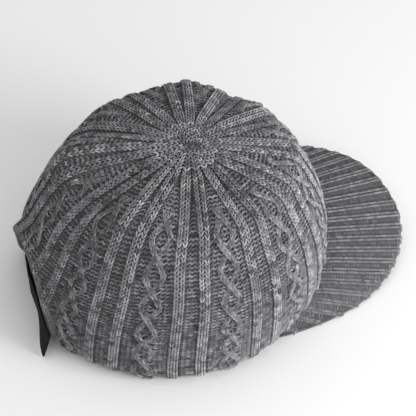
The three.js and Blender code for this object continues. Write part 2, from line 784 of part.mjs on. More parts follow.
// Slide: a flat plate with two slots, standing on edge.
function slideGeometry() {
  const slotHalf = STRAP_WIDTH_MM / 2 + CLEARANCE_MM;
  const half = slotHalf + SLIDE_END_BAR_MM;
  const corner = SLIDE_END_BAR_MM * 0.7;
  const length = slideLength / 2;
  const outline = new THREE.Shape();
  outline.moveTo(-length + corner, -half);
  outline.lineTo(length - corner, -half);
  outline.lineTo(length, -half + corner);
  outline.lineTo(length, half - corner);
  outline.lineTo(length - corner, half);
  outline.lineTo(-length + corner, half);
  outline.lineTo(-length, half - corner);
  outline.lineTo(-length, -half + corner);
  const slots = [
    [nearEnd + SLIDE_BAR_MM, nearEnd + SLIDE_BAR_MM + SLIDE_NEAR_SLOT_MM, slotHalf],
    [middleBarEnd, farBarStart, slotHalf + SLIDE_FAR_SLOT_EASE_MM],
  ];
  for (const [from, to, tall] of slots) {
    const slot = new THREE.Path();
    slot.moveTo(from, -tall);
    slot.lineTo(from, tall);
    slot.lineTo(to, tall);
    slot.lineTo(to, -tall);
    outline.holes.push(slot);
  }
  const geometry = new THREE.ExtrudeGeometry(outline, {
    depth: SLIDE_THICKNESS_MM,
    bevelEnabled: false,
  });
  geometry.translate(0, 0, -SLIDE_THICKNESS_MM / 2);
  return geometry;
}

function material(color, roughness, metalness = 0) {
  return new THREE.MeshStandardMaterial({ color, roughness, metalness });
}

const knitGrey = material(0x67666a, 0.95);
const peakGrey = material(0x69676b, 0.95);
const webbingBlack = material(0x232326, 0.85);
const slideBlack = material(0x2b2b2f, 0.4);

function mesh(name, geometry, look) {
  const made = new THREE.Mesh(geometry, look);
  made.name = name;
  return made;
}

const cap = new THREE.Group();
cap.add(mesh("crown", crownGeometry(), knitGrey));
cap.add(mesh("peak", peakGeometry(), peakGrey));
cap.add(mesh("back_strap", ribbonGeometry(strapPlaces()), webbingBlack));
cap.add(mesh("strap_anchor", ribbonGeometry(anchorPlaces()), webbingBlack));

const slide = mesh("strap_slide", slideGeometry(), slideBlack);
slide.position.set(slideOrigin.x, slideOrigin.y, strapMiddleZ);
slide.quaternion.setFromRotationMatrix(
  new THREE.Matrix4().makeBasis(
    new THREE.Vector3(slideRun.x, slideRun.y, 0),
    new THREE.Vector3(0, 0, 1),
    new THREE.Vector3(-slideOut.x, -slideOut.y, 0),
  ),
);
cap.add(slide);

// The origin is the middle of the base of the whole cap.
cap.updateMatrixWorld(true);
const extent = new THREE.Box3().setFromObject(cap, true);
cap.position.set(
  -(extent.min.x + extent.max.x) / 2,
  -(extent.min.y + extent.max.y) / 2,
  -extent.min.z,
);
cap.updateMatrixWorld(true);

export default cap;
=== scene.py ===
"""Looks of a knit baseball cap: melange yarn stitched course by course over the crown and
peak, a turned knit edge round the back opening, and a black webbing strap with its slide.

Sizes in the tables are millimetres or shares of the crown's own sizes. Azimuths run in
degrees from the front (0) over the wearer's right (90) to the back (180).
"""

import math

import bmesh
import bpy
import numpy as np
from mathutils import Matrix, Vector


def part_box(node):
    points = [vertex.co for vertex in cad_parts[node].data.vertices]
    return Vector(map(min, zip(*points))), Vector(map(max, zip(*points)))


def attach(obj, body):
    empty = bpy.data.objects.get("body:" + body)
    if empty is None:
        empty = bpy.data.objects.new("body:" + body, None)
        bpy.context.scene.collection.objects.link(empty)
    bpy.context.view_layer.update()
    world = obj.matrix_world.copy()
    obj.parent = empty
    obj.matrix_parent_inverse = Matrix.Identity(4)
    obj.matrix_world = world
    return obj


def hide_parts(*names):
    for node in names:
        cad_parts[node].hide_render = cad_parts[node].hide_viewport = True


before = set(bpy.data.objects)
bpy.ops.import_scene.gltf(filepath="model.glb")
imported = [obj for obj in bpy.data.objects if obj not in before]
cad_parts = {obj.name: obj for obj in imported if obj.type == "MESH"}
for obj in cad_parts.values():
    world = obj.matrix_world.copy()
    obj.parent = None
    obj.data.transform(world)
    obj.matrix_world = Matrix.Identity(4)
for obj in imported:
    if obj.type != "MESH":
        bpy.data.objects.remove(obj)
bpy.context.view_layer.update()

bl_info = {
    "name": "Knit Baseball Cap",
    "version": (1, 0, 0),
    "blender": (4, 5, 0),
    "location": "View3D > Sidebar > Knit Cap",
    "description": "Stitches a ribbed and cabled cap over its fixed solids",
    "category": "Object",
}

BODY = "root"

# Crown, as the solids have it.
HALF_WIDTH = 93.8
FRONT_REACH = 93.3
REAR_REACH = 100.3
HEIGHT = 105.0
TOP_FORWARD = 9.5
TOP_LEAN = 2.3
PLAN_POWER = 1.98
WALL = 2.6
PIT_DEPTH = 2.2
PIT_RADIUS = 7.0
REPEATS = 12
FIRST_PAIR = 15.0
RIB_WIDTH = 6.5
RIB_RELIEF = 1.5
CABLE_SPREAD = 5.2
CABLE_RELIEF = 1.0
CABLE_LAP = 0.55
STRAND_WIDTH = 3.4
OPENING_HALF = 26.0
OPENING_HEIGHT = 50.0
OPENING_POWER = 2.3
LIP_FLARE = 5.0
LIP_REACH = 16.0

# along, rise, reach, forward, lean
PROFILE = np.array(
    [
        (0.0, 0.0, 0.976, 0.0, 0.0),
        (0.08, 0.097, 1.03, 0.0, 0.0),
        (0.25, 0.327, 1.007, 0.17, 0.25),
        (0.5, 0.577, 0.921, 0.45, 0.65),
        (0.68, 0.792, 0.8, 0.57, 0.8),
        (0.82, 0.904, 0.705, 0.74, 0.9),
        (0.93, 0.982, 0.3, 0.94, 1.0),
        (1.0, 1.0, 0.0, 1.0, 1.0),
    ]
)
# azimuth, inset share at the hem
HEM_DRAW = np.array(
    [
        (0, 0.0),
        (35, 0.0),
        (58, 0.045),
        (80, 0.002),
        (110, -0.022),
        (130, -0.016),
        (150, 0.0),
        (180, 0.0),
        (210, 0.0),
        (230, -0.016),
        (250, -0.022),
        (280, 0.002),
        (302, 0.045),
        (325, 0.0),
        (360, 0.0),
    ]
)
# azimuth, half width, from, to, depth as a share of the wall
FOLDS = (
    (12, 9, 0.74, 0.99, 0.6),
    (45, 8, 0.72, 0.97, -0.4),
    (78, 8, 0.78, 0.98, 0.55),
    (110, 10, 0.72, 0.98, 0.9),
    (140, 9, 0.7, 0.97, -0.5),
    (171, 13, 0.58, 0.98, 1.5),
    (203, 10, 0.6, 0.96, -1.4),
    (226, 8, 0.62, 0.97, 1.2),
    (246, 9, 0.55, 0.94, -0.2),
    (268, 8, 0.62, 0.97, 0.2),
    (290, 9, 0.6, 0.95, -0.7),
    (318, 9, 0.66, 0.98, 1.3),
    (347, 8, 0.68, 0.98, 1.0),
)
# The dressed knit folds this much deeper than the solid.
FOLD_SLACK = 1.4
# along, height of one course
COURSES = np.array([(0.0, 1.7), (0.3, 2.0), (0.5, 2.4), (0.7, 2.75), (1.0, 2.9)])
# along, courses from one cable crossing to the next
CABLE_FROM = 3.0
CABLE_COURSES = 8.0
CABLE_END = 0.88

# Peak, as the solids have it.
PEAK_CORNER = 64.0
PEAK_REACH = 62.5
PEAK_SIDE_STEP = 1.8
PEAK_ARCH = 16.0
PEAK_PITCH = 7.0
PEAK_THICKNESS = 4.4
PEAK_CORNER_THICKNESS = 2.4
PEAK_ROOT_MARGIN = 1.2
PEAK_RIBS = 27
PEAK_RELIEF = 0.9
PEAK_EDGE = 1.5
PEAK_COURSE = 1.95
PEAK_WALE = 1.55
# A peak rib shorter than this stops before the edge instead of turning round it.
CORNER_LENGTH = 26.0
# Lowest middle of a stitch over the floor.
FLOOR_LIFT = 1.5
CLEARANCE = 0.3

# Strap, anchor loop and slide, as the solids have them.
STRAP_WIDTH = 19.0
STRAP_THICKNESS = 1.4
STRAP_LIFT = 2.2
STRAP_SEWN = 8.0
STRAP_TAUT = 2.0
SLIDE_CENTRE = 188.0
SLIDE_THICKNESS = 2.2
SLIDE_BAR = 2.6
SLIDE_END_BAR = 1.5
SLIDE_NEAR_SLOT = 2.6
SLIDE_FAR_SLOT = 6.4
SLIDE_FAR_EASE = 0.4
TAIL_END = 154.0
TAIL_FLARE = 13.5
TAIL_LEAN = 18.0
TAIL_DROP = 1.7
# along, out, lean, drop
TAIL = (
    (0.2, 0.06, 0.0, 0.0),
    (0.4, 0.2, 0.1, 0.1),
    (0.58, 0.4, 0.35, 0.35),
    (0.74, 0.62, 0.65, 0.65),
    (0.88, 0.83, 0.9, 0.9),
    (1.0, 1.0, 1.0, 1.0),
)


def smooth(low, high, value):
    share = np.clip((value - low) / (high - low), 0.0, 1.0)
    return share * share * (3 - 2 * share)


def mix(a, b, share):
    return a + (b - a) * share


def curve_through(xs, ys):
    """A cubic through the points that never swings past them."""
    xs, ys = np.asarray(xs, float), np.asarray(ys, float)
    slopes = np.diff(ys) / np.diff(xs)
    tangents = np.concatenate([slopes[:1], np.zeros(len(xs) - 2), slopes[-1:]])
    for i in range(1, len(xs) - 1):
        if slopes[i - 1] * slopes[i] > 0:
            tangents[i] = 2 * slopes[i - 1] * slopes[i] / (slopes[i - 1] + slopes[i])

    def at(x):
        x = np.asarray(x, float)
        i = np.clip(np.searchsorted(xs, x, side="left") - 1, 0, len(xs) - 2)
        step = xs[i + 1] - xs[i]
        s = np.clip((x - xs[i]) / step, 0, 1)
        s2, s3 = s * s, s * s * s
        return (
            ys[i] * (2 * s3 - 3 * s2 + 1)
            + tangents[i] * step * (s3 - 2 * s2 + s)
            + ys[i + 1] * (3 * s2 - 2 * s3)
            + tangents[i + 1] * step * (s3 - s2)
        )

    return at


rise_at = curve_through(PROFILE[:, 0], PROFILE[:, 1])
reach_at = curve_through(PROFILE[:, 0], PROFILE[:, 2])
forward_at = curve_through(PROFILE[:, 0], PROFILE[:, 3])
lean_at = curve_through(PROFILE[:, 0], PROFILE[:, 4])
hem_inset_at = curve_through(HEM_DRAW[:, 0], HEM_DRAW[:, 1])
SEAM_REACH = PROFILE[0, 2]

_table = np.linspace(0, 1, 4001)
_heights = rise_at(_table) * HEIGHT


def along_at_height(height):
    return np.interp(height, _heights, _table)


def around(azimuth):
    return np.mod(azimuth, 360.0)


def from_front(azimuth):
    a = around(azimuth)
    return np.minimum(a, 360 - a)


def from_back(azimuth):
    return np.abs(around(azimuth) - 180)


def plan_point(azimuth):
    """Outline of the head in plan, a slightly squared oval."""
    a = np.radians(azimuth)
    c, s = np.cos(a), np.sin(a)
    stretch = (np.abs(c) ** PLAN_POWER + np.abs(s) ** PLAN_POWER) ** (-1 / PLAN_POWER)
    depth = np.where(c > 0, FRONT_REACH, REAR_REACH)
    return np.stack([-HALF_WIDTH * s * stretch, -depth * c * stretch], -1)


def ground_point(azimuth, along):
    azimuth, along = np.broadcast_arrays(azimuth, along)
    rise = rise_at(along)
    reach = reach_at(along) - hem_inset_at(around(azimuth)) * (1 - smooth(0, 0.2, rise))
    plan = plan_point(azimuth)
    x = plan[..., 0] * reach - TOP_LEAN * lean_at(along)
    y = plan[..., 1] * reach - TOP_FORWARD * forward_at(along)
    return np.stack([x, y, HEIGHT * rise], -1)


def unit(v):
    return v / np.maximum(np.linalg.norm(v, axis=-1, keepdims=True), 1e-9)


def ground_normal(azimuth, along):
    along = np.asarray(along, float)
    low, high = np.maximum(0, along - 0.004), np.minimum(0.997, along + 0.004)
    up = ground_point(azimuth, high) - ground_point(azimuth, low)
    side = ground_point(azimuth + 0.4, along) - ground_point(azimuth - 0.4, along)
    return unit(np.cross(up, side))


def fold_depth(azimuth, along):
    depth = 0.0
    for at, half, start, end, share in FOLDS:
        gap = around(azimuth - at + 180) - 180
        across = np.clip(1 - (gap / (half * 1.6)) ** 2, 0, 1) ** 2
        middle = mix(start, end, 0.6)
        run = smooth(start, middle, along) * (1 - smooth(middle, end, along))
        depth = depth + share * WALL * FOLD_SLACK * across * run
    return depth


def pit_depth(azimuth, along):
    ground = ground_point(azimuth, along)
    apex = ground_point(0.0, 1.0)
    distance = np.hypot(ground[..., 0] - apex[0], ground[..., 1] - apex[1])
    return PIT_DEPTH * (1 - smooth(0, PIT_RADIUS, distance))


def opening_height(azimuth):
    share = np.minimum(from_back(azimuth) / OPENING_HALF, 1.0)
    return OPENING_HEIGHT * np.sqrt(np.maximum(0, 1 - share**OPENING_POWER))


def lip_flare(azimuth, along):
    height = rise_at(along) * HEIGHT
    above = np.clip((height - opening_height(azimuth)) / LIP_REACH, 0, 1)
    inside = 1 - smooth(0.7, 1.15, from_back(azimuth) / OPENING_HALF)
    return LIP_FLARE * inside * (1 - above) ** 2


_corner = plan_point(np.array(PEAK_CORNER))
PEAK_HALF_WIDTH = abs(_corner[0]) * SEAM_REACH + PEAK_SIDE_STEP


def arch_part(x):
    return PEAK_ARCH * (1 - np.clip(np.abs(x) / PEAK_HALF_WIDTH, 0, 1) ** 2)


def peak_thickness(x):
    return mix(PEAK_CORNER_THICKNESS, PEAK_THICKNESS, smooth(0, PEAK_ARCH * 0.4, arch_part(x)))


def peak_under(x, outward):
    side = np.clip(np.abs(x) / PEAK_HALF_WIDTH, 0, 1)
    drop = outward * math.tan(math.radians(PEAK_PITCH)) * (1 - 0.5 * side * side)
    return np.maximum(0, arch_part(x) - drop)


def rim_height(azimuth, x):
    past = smooth(PEAK_CORNER + 1, PEAK_CORNER + 9, from_front(azimuth))
    seat = peak_under(x, 0) + peak_thickness(x) + CLEARANCE
    return np.maximum(np.where(past >= 1, 0, seat * (1 - past)), opening_height(azimuth))


def rim_along(azimuth):
    reach = SEAM_REACH - hem_inset_at(around(azimuth))
    return along_at_height(rim_height(azimuth, plan_point(azimuth)[..., 0] * reach))


def squeezed(along, edge):
    settle = 0.62
    return np.where(along >= settle, along, edge + along * (settle - edge) / settle)


# Courses: distance up the profile and the share at which each course lies.
_meridian = ground_point(90.0, _table)
_run = np.concatenate([[0], np.cumsum(np.linalg.norm(np.diff(_meridian, axis=0), axis=1))])


def course_shares():
    at, shares = 0.85, []
    while at < _run[-1] - 1.0:
        share = float(np.interp(at, _run, _table))
        shares.append(share)
        at += float(np.interp(share, COURSES[:, 0], COURSES[:, 1]))
    return np.array(shares)


COURSE_AT = course_shares()
COURSE_COUNT = len(COURSE_AT)


def course_of(along):
    """Course number, with fractions, at a share of the profile."""
    first = COURSE_AT[0] / max(COURSE_AT[1] - COURSE_AT[0], 1e-6)
    return np.interp(
        along,
        np.concatenate([[0], COURSE_AT, [1]]),
        np.concatenate([[-first], np.arange(COURSE_COUNT), [COURSE_COUNT]]),
    )


def repeat_width(along):
    return 2 * math.pi * HALF_WIDTH * np.maximum(reach_at(along), 0.02) * 1.035 / REPEATS


def rib_layout(width):
    """Rib width, gap between the two ribs of a pair and panel between pairs."""
    rib = np.minimum(RIB_WIDTH, width * 0.44)
    gap = (width - 2 * rib) * 0.25
    return rib, gap, width - 2 * rib - gap


def cable_swing(along, panel):
    """Sideways place of the first strand and how far it lies on top, from the course."""
    phase = (course_of(along) - CABLE_FROM) / CABLE_COURSES
    wave = np.arcsin(0.93 * np.sin(math.pi * phase)) / math.asin(0.93)
    spread = np.minimum(CABLE_SPREAD, panel * 0.3)
    return spread * wave, np.cos(math.pi * phase)


def strand_bump(distance):
    return np.sqrt(np.clip(1 - (distance / (STRAND_WIDTH * 0.62)) ** 2, 0, 1))


def relief(azimuth, along):
    """Rounded ribs and cable strands over the ground, in millimetres."""
    width = repeat_width(along)
    rib, gap, panel = rib_layout(width)
    off = (np.mod(azimuth - FIRST_PAIR + 15.0, 30.0) - 15.0) / 30.0 * width
    from_rib = np.abs(np.abs(off) - (gap + rib) / 2)
    tall = RIB_RELIEF * np.clip(width / (RIB_WIDTH * 2.4), 0.45, 1)
    tall = tall * mix(0.4, 0.9, smooth(0.03, 0.45, along)) * mix(1.0, 0.75, smooth(0.6, 0.9, along))
    ribs = tall * np.sqrt(np.clip(1 - (from_rib / (rib * 0.62)) ** 2, 0, 1))
    across = np.where(off > 0, off - width / 2, off + width / 2)
    swing, over = cable_swing(along, panel)
    fade = 1 - smooth(CABLE_END - 0.06, CABLE_END + 0.03, along)
    first = (CABLE_RELIEF + CABLE_LAP * over) * strand_bump(np.abs(across - swing))
    second = (CABLE_RELIEF - CABLE_LAP * over) * strand_bump(np.abs(across + swing))
    return np.maximum(ribs, np.maximum(first, second) * fade)


def knit_surface(azimuth, along, lift):
    """A point of the knit face at a height over its ground, folds and flare included."""
    away = lift - fold_depth(azimuth, along) + lip_flare(azimuth, along)
    point = ground_point(azimuth, along) + ground_normal(azimuth, along) * away[..., None]
    point[..., 2] -= pit_depth(azimuth, along)
    return point


# The cap's own origin lies in the middle of the peak's width and behind its front edge.
_peak_low, _peak_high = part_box("peak")
TIP_Y = -(FRONT_REACH * SEAM_REACH + PEAK_REACH) - PEAK_RELIEF * 0.5
SHIFT = np.array([(_peak_low.x + _peak_high.x) / 2 * 1000, _peak_low.y * 1000 - TIP_Y, 0.0])


def metres(points):
    return (np.asarray(points, float) + SHIFT) / 1000


def settings():
    return bpy.context.scene.knit_cap


def mesh_object(name, points, faces):
    mesh = bpy.data.meshes.new(name)
    mesh.from_pydata([tuple(p) for p in points], [], [tuple(f) for f in faces])
    mesh.validate()
    mesh.update()
    made = bpy.data.objects.new(name, mesh)
    bpy.context.scene.collection.objects.link(made)
    return made


def shade_smooth(piece):
    piece.data.polygons.foreach_set("use_smooth", np.ones(len(piece.data.polygons), bool))
    piece.data.update()


def face_outward(piece):
    """Turns a closed skin's faces outward by its signed volume."""
    mesh = piece.data
    mesh.calc_loop_triangles()
    points = np.empty(len(mesh.vertices) * 3)
    mesh.vertices.foreach_get("co", points)
    points = points.reshape(-1, 3)
    corners = np.empty(len(mesh.loop_triangles) * 3, int)
    mesh.loop_triangles.foreach_get("vertices", corners)
    a, b, c = (points[corners.reshape(-1, 3)[:, i]] for i in range(3))
    if np.einsum("ij,ij->i", a, np.cross(b, c)).sum() < 0:
        mesh.flip_normals()


def finish_piece(piece, material=None, replaces=()):
    if material is not None:
        piece.data.materials.clear()
        piece.data.materials.append(material)
    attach(piece, BODY)
    for node in replaces:
        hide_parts(node)
    return piece


# ---- materials


class Graph:
    """Short calls for building a node tree."""

    def __init__(self, tree):
        self.tree = tree
        self.tree.nodes.clear()

    def node(self, kind, inputs=None, **values):
        made = self.tree.nodes.new(kind)
        for name, value in values.items():
            setattr(made, name, value)
        for key, value in (inputs or {}).items():
            if isinstance(value, bpy.types.NodeSocket):
                self.tree.links.new(value, made.inputs[key])
            else:
                made.inputs[key].default_value = value
        return made

    def math(self, operation, a, b=0.0, c=0.0, clamp=False):
        made = self.tree.nodes.new("ShaderNodeMath")
        made.operation = operation
        made.use_clamp = clamp
        for i, value in enumerate((a, b, c)):
            if isinstance(value, bpy.types.NodeSocket):
                self.tree.links.new(value, made.inputs[i])
            else:
                made.inputs[i].default_value = value
        return made.outputs[0]

    def ramp(self, value, stops):
        made = self.tree.nodes.new("ShaderNodeValToRGB")
        self.tree.links.new(value, made.inputs[0])
        elements = made.color_ramp.elements
        while len(elements) < len(stops):
            elements.new(0.5)
        for element, (place, colour) in zip(elements, stops):
            element.position = place
            element.color = (*colour, 1)
        return made.outputs[0]

    def link(self, a, b):
        self.tree.links.new(a, b)


def material(name):
    made = bpy.data.materials.new(name)
    made.use_nodes = True
    return made, Graph(made.node_tree)


def linear(colour):
    return tuple(c / 12.92 if c <= 0.04045 else ((c + 0.055) / 1.055) ** 2.4 for c in colour)


def grey(level, tint=(1.0, 0.985, 1.03)):
    return tuple(level * t for t in tint)


def melange(graph, dark, light, coords, speck):
    """Light and dark fibres mixed in one yarn."""
    fine = graph.node(
        "ShaderNodeTexNoise",
        {"Vector": coords, "Scale": speck, "Detail": 3.0, "Roughness": 0.7, "Distortion": 0.6},
    ).outputs["Fac"]
    broad = graph.node(
        "ShaderNodeTexNoise",
        {"Vector": coords, "Scale": speck * 0.22, "Detail": 2.0, "Roughness": 0.6},
    ).outputs["Fac"]
    mixed = graph.math("MULTIPLY_ADD", broad, 0.35, graph.math("MULTIPLY", fine, 0.65))
    return graph.ramp(
        mixed,
        [
            (0.30, dark),
            (0.45, tuple(mix(d, li, 0.35) for d, li in zip(dark, light))),
            (0.56, tuple(mix(d, li, 0.6) for d, li in zip(dark, light))),
            (0.70, light),
        ],
    ), fine


def yarn_material(name, level, contrast):
    """Wool yarn: melange fibres times a per-stitch tone that carries painted light, plies from the strand's own run and
    turn, soft sheen.
    """
    made, graph = material(name)
    coords = graph.node("ShaderNodeTexCoord").outputs["Object"]
    dark, light = grey(level * (1 - contrast)), grey(level * (1 + contrast))
    colour, fine = melange(graph, dark, light, coords, 1300.0)
    # the per-stitch tone is a random tone times painted light: lighter on raised ribs, cables and the turned edge,
    # darker on purl stitches
    stitch_tone_and_painted_light = graph.node("ShaderNodeAttribute", attribute_name="stitch_tone_and_painted_light").outputs["Fac"]
    run = graph.node("ShaderNodeAttribute", attribute_name="yarn_run").outputs["Fac"]
    turn = graph.node("ShaderNodeAttribute", attribute_name="yarn_turn").outputs["Fac"]
    toned = graph.node(
        "ShaderNodeMix",
        data_type="RGBA",
        blend_type="MULTIPLY",
        inputs=None,
    )
    toned.inputs["Factor"].default_value = 1.0
    graph.link(colour, toned.inputs["A"])
    level_colour = graph.node("ShaderNodeCombineColor", {"Red": stitch_tone_and_painted_light, "Green": stitch_tone_and_painted_light, "Blue": stitch_tone_and_painted_light})
    graph.link(level_colour.outputs[0], toned.inputs["B"])
    winding = graph.math("MULTIPLY_ADD", run, 2.5, graph.math("MULTIPLY", turn, 3.0))
    ply = graph.math("SINE", graph.math("MULTIPLY", winding, 2 * math.pi))
    height = graph.math("MULTIPLY_ADD", fine, 0.6, graph.math("MULTIPLY", ply, 0.25))
    bump = graph.node("ShaderNodeBump", {"Height": height, "Strength": 0.6, "Distance": 0.0003})
    shader = graph.node(
        "ShaderNodeBsdfPrincipled",
        {
            "Base Color": toned.outputs["Result"],
            "Normal": bump.outputs["Normal"],
            "Roughness": 0.92,
            "Specular IOR Level": 0.15,
            "Sheen Weight": 0.25,
            "Sheen Roughness": 0.5,
            "Sheen Tint": (0.8, 0.8, 0.85, 1.0),
        },
    )
    output = graph.node("ShaderNodeOutputMaterial")
    graph.link(shader.outputs[0], output.inputs["Surface"])
    return made


def knit_face_material(name, level):
    """The knit seen without separate stitches: V shapes from the wale and course numbers, as bumps and as painted shade
    darkening the colour between the V legs.
    """
    made, graph = material(name)
    coords = graph.node("ShaderNodeTexCoord").outputs["Object"]
    colour, fine = melange(graph, grey(level * 0.6), grey(level * 1.4), coords, 900.0)
    knit = graph.node("ShaderNodeUVMap", uv_map="knit").outputs[0]
    parts = graph.node("ShaderNodeSeparateXYZ", {0: knit})
    wale = graph.math("FRACT", parts.outputs["X"])
    side = graph.math("ABSOLUTE", graph.math("SUBTRACT", wale, 0.5))
    lean = graph.math("MULTIPLY_ADD", side, 1.4, parts.outputs["Y"])
    leg = graph.math("SINE", graph.math("MULTIPLY", lean, 2 * math.pi))
    column = graph.math("COSINE", graph.math("MULTIPLY", side, 4 * math.pi))
    weave = graph.math("MULTIPLY_ADD", leg, 0.32, graph.math("MULTIPLY", column, -0.2))
    height = graph.math("MULTIPLY_ADD", fine, 0.5, weave)
    bump = graph.node("ShaderNodeBump", {"Height": height, "Strength": 0.9, "Distance": 0.0009})
    # painted shade: the colour is darkened to about half between the V legs and wales, where the gaps would fall in
    # shadow
    painted_gap_shade = graph.math("MULTIPLY_ADD", weave, 0.55, 0.75, clamp=True)
    toned = graph.node("ShaderNodeMix", data_type="RGBA", blend_type="MULTIPLY")
    toned.inputs["Factor"].default_value = 1.0
    graph.link(colour, toned.inputs["A"])
    level_colour = graph.node("ShaderNodeCombineColor", {"Red": painted_gap_shade, "Green": painted_gap_shade, "Blue": painted_gap_shade})
    graph.link(level_colour.outputs[0], toned.inputs["B"])
    shader = graph.node(
        "ShaderNodeBsdfPrincipled",
        {
            "Base Color": toned.outputs["Result"],
            "Normal": bump.outputs["Normal"],
            "Roughness": 0.95,
            "Specular IOR Level": 0.1,
            "Sheen Weight": 0.15,
            "Sheen Roughness": 0.5,
        },
    )
    output = graph.node("ShaderNodeOutputMaterial")
    graph.link(shader.outputs[0], output.inputs["Surface"])
    return made


def webbing_material(name, level):
    """Woven polyester webbing: warp ribs along the band and fine weft across it, as bumps and as painted shade between
    the threads.
    """
    made, graph = material(name)
    band = graph.node("ShaderNodeUVMap", uv_map="band").outputs[0]
    parts = graph.node("ShaderNodeSeparateXYZ", {0: band})
    warp = graph.math("SINE", graph.math("MULTIPLY", parts.outputs["Y"], 2 * math.pi / 0.9))
    half = graph.math("GREATER_THAN", warp, 0.0)
    step = graph.math("MULTIPLY_ADD", half, math.pi, graph.math("MULTIPLY", parts.outputs["X"], 2 * math.pi / 0.8))
    weft = graph.math("SINE", step)
    weave = graph.math("MULTIPLY_ADD", weft, 0.35, graph.math("MULTIPLY", graph.math("ABSOLUTE", warp), 0.65))
    coords = graph.node("ShaderNodeTexCoord").outputs["Object"]
    fine = graph.node("ShaderNodeTexNoise", {"Vector": coords, "Scale": 1400.0, "Detail": 2.0}).outputs["Fac"]
    # the colour is partly painted shade, lighter on the thread crowns and darker between threads, over a fine random
    # tone
    tone_and_painted_light = graph.math("MULTIPLY_ADD", fine, 0.4, graph.math("MULTIPLY", weave, 0.6))
    colour = graph.ramp(tone_and_painted_light, [(0.2, grey(level * 0.55)), (0.5, grey(level)), (0.9, grey(level * 1.7))])
    bump = graph.node("ShaderNodeBump", {"Height": weave, "Strength": 0.5, "Distance": 0.0003})
    shader = graph.node(
        "ShaderNodeBsdfPrincipled",
        {
            "Base Color": colour,
            "Normal": bump.outputs["Normal"],
            "Roughness": 0.75,
            "Specular IOR Level": 0.12,
        },
    )
    output = graph.node("ShaderNodeOutputMaterial")
    graph.link(shader.outputs[0], output.inputs["Surface"])
    return made


def plastic_material(name, level):
    """Moulded plastic with a fine grain and broad lighter and darker patches in colour and roughness."""
    made, graph = material(name)
    coords = graph.node("ShaderNodeTexCoord").outputs["Object"]
    grain = graph.node("ShaderNodeTexNoise", {"Vector": coords, "Scale": 2200.0, "Detail": 2.0}).outputs["Fac"]
    broad_patches = graph.node("ShaderNodeTexNoise", {"Vector": coords, "Scale": 160.0, "Detail": 3.0}).outputs["Fac"]
    colour = graph.ramp(broad_patches, [(0.35, grey(level * 0.8)), (0.65, grey(level * 1.25))])
    rough = graph.math("MULTIPLY_ADD", broad_patches, 0.25, 0.25)
    bump = graph.node("ShaderNodeBump", {"Height": grain, "Strength": 0.15, "Distance": 0.0001})
    shader = graph.node(
        "ShaderNodeBsdfPrincipled",
        {"Base Color": colour, "Normal": bump.outputs["Normal"], "Roughness": rough},
    )
    output = graph.node("ShaderNodeOutputMaterial")
    graph.link(shader.outputs[0], output.inputs["Surface"])
    return made


# ---- stitches


LEG_CURVES = (
    ((0.07, -0.56, -0.35), (0.17, -0.02, 1.25), (0.45, 0.66, -0.45)),
    ((-0.07, -0.56, -0.35), (-0.17, -0.02, 1.25), (-0.45, 0.66, -0.45)),
)
PURL_CURVES = (
    ((-0.5, -0.3, -0.4), (0.0, 0.75, 0.9), (0.5, -0.3, -0.4)),
    ((0.02, 0.62, -0.4), (0.5, -0.5, 0.7), (0.98, 0.62, -0.4)),
)
THREAD_CURVES = (((-0.5, 0.0, -0.6), (0.0, 0.0, 1.1), (0.5, 0.0, -0.6)),)


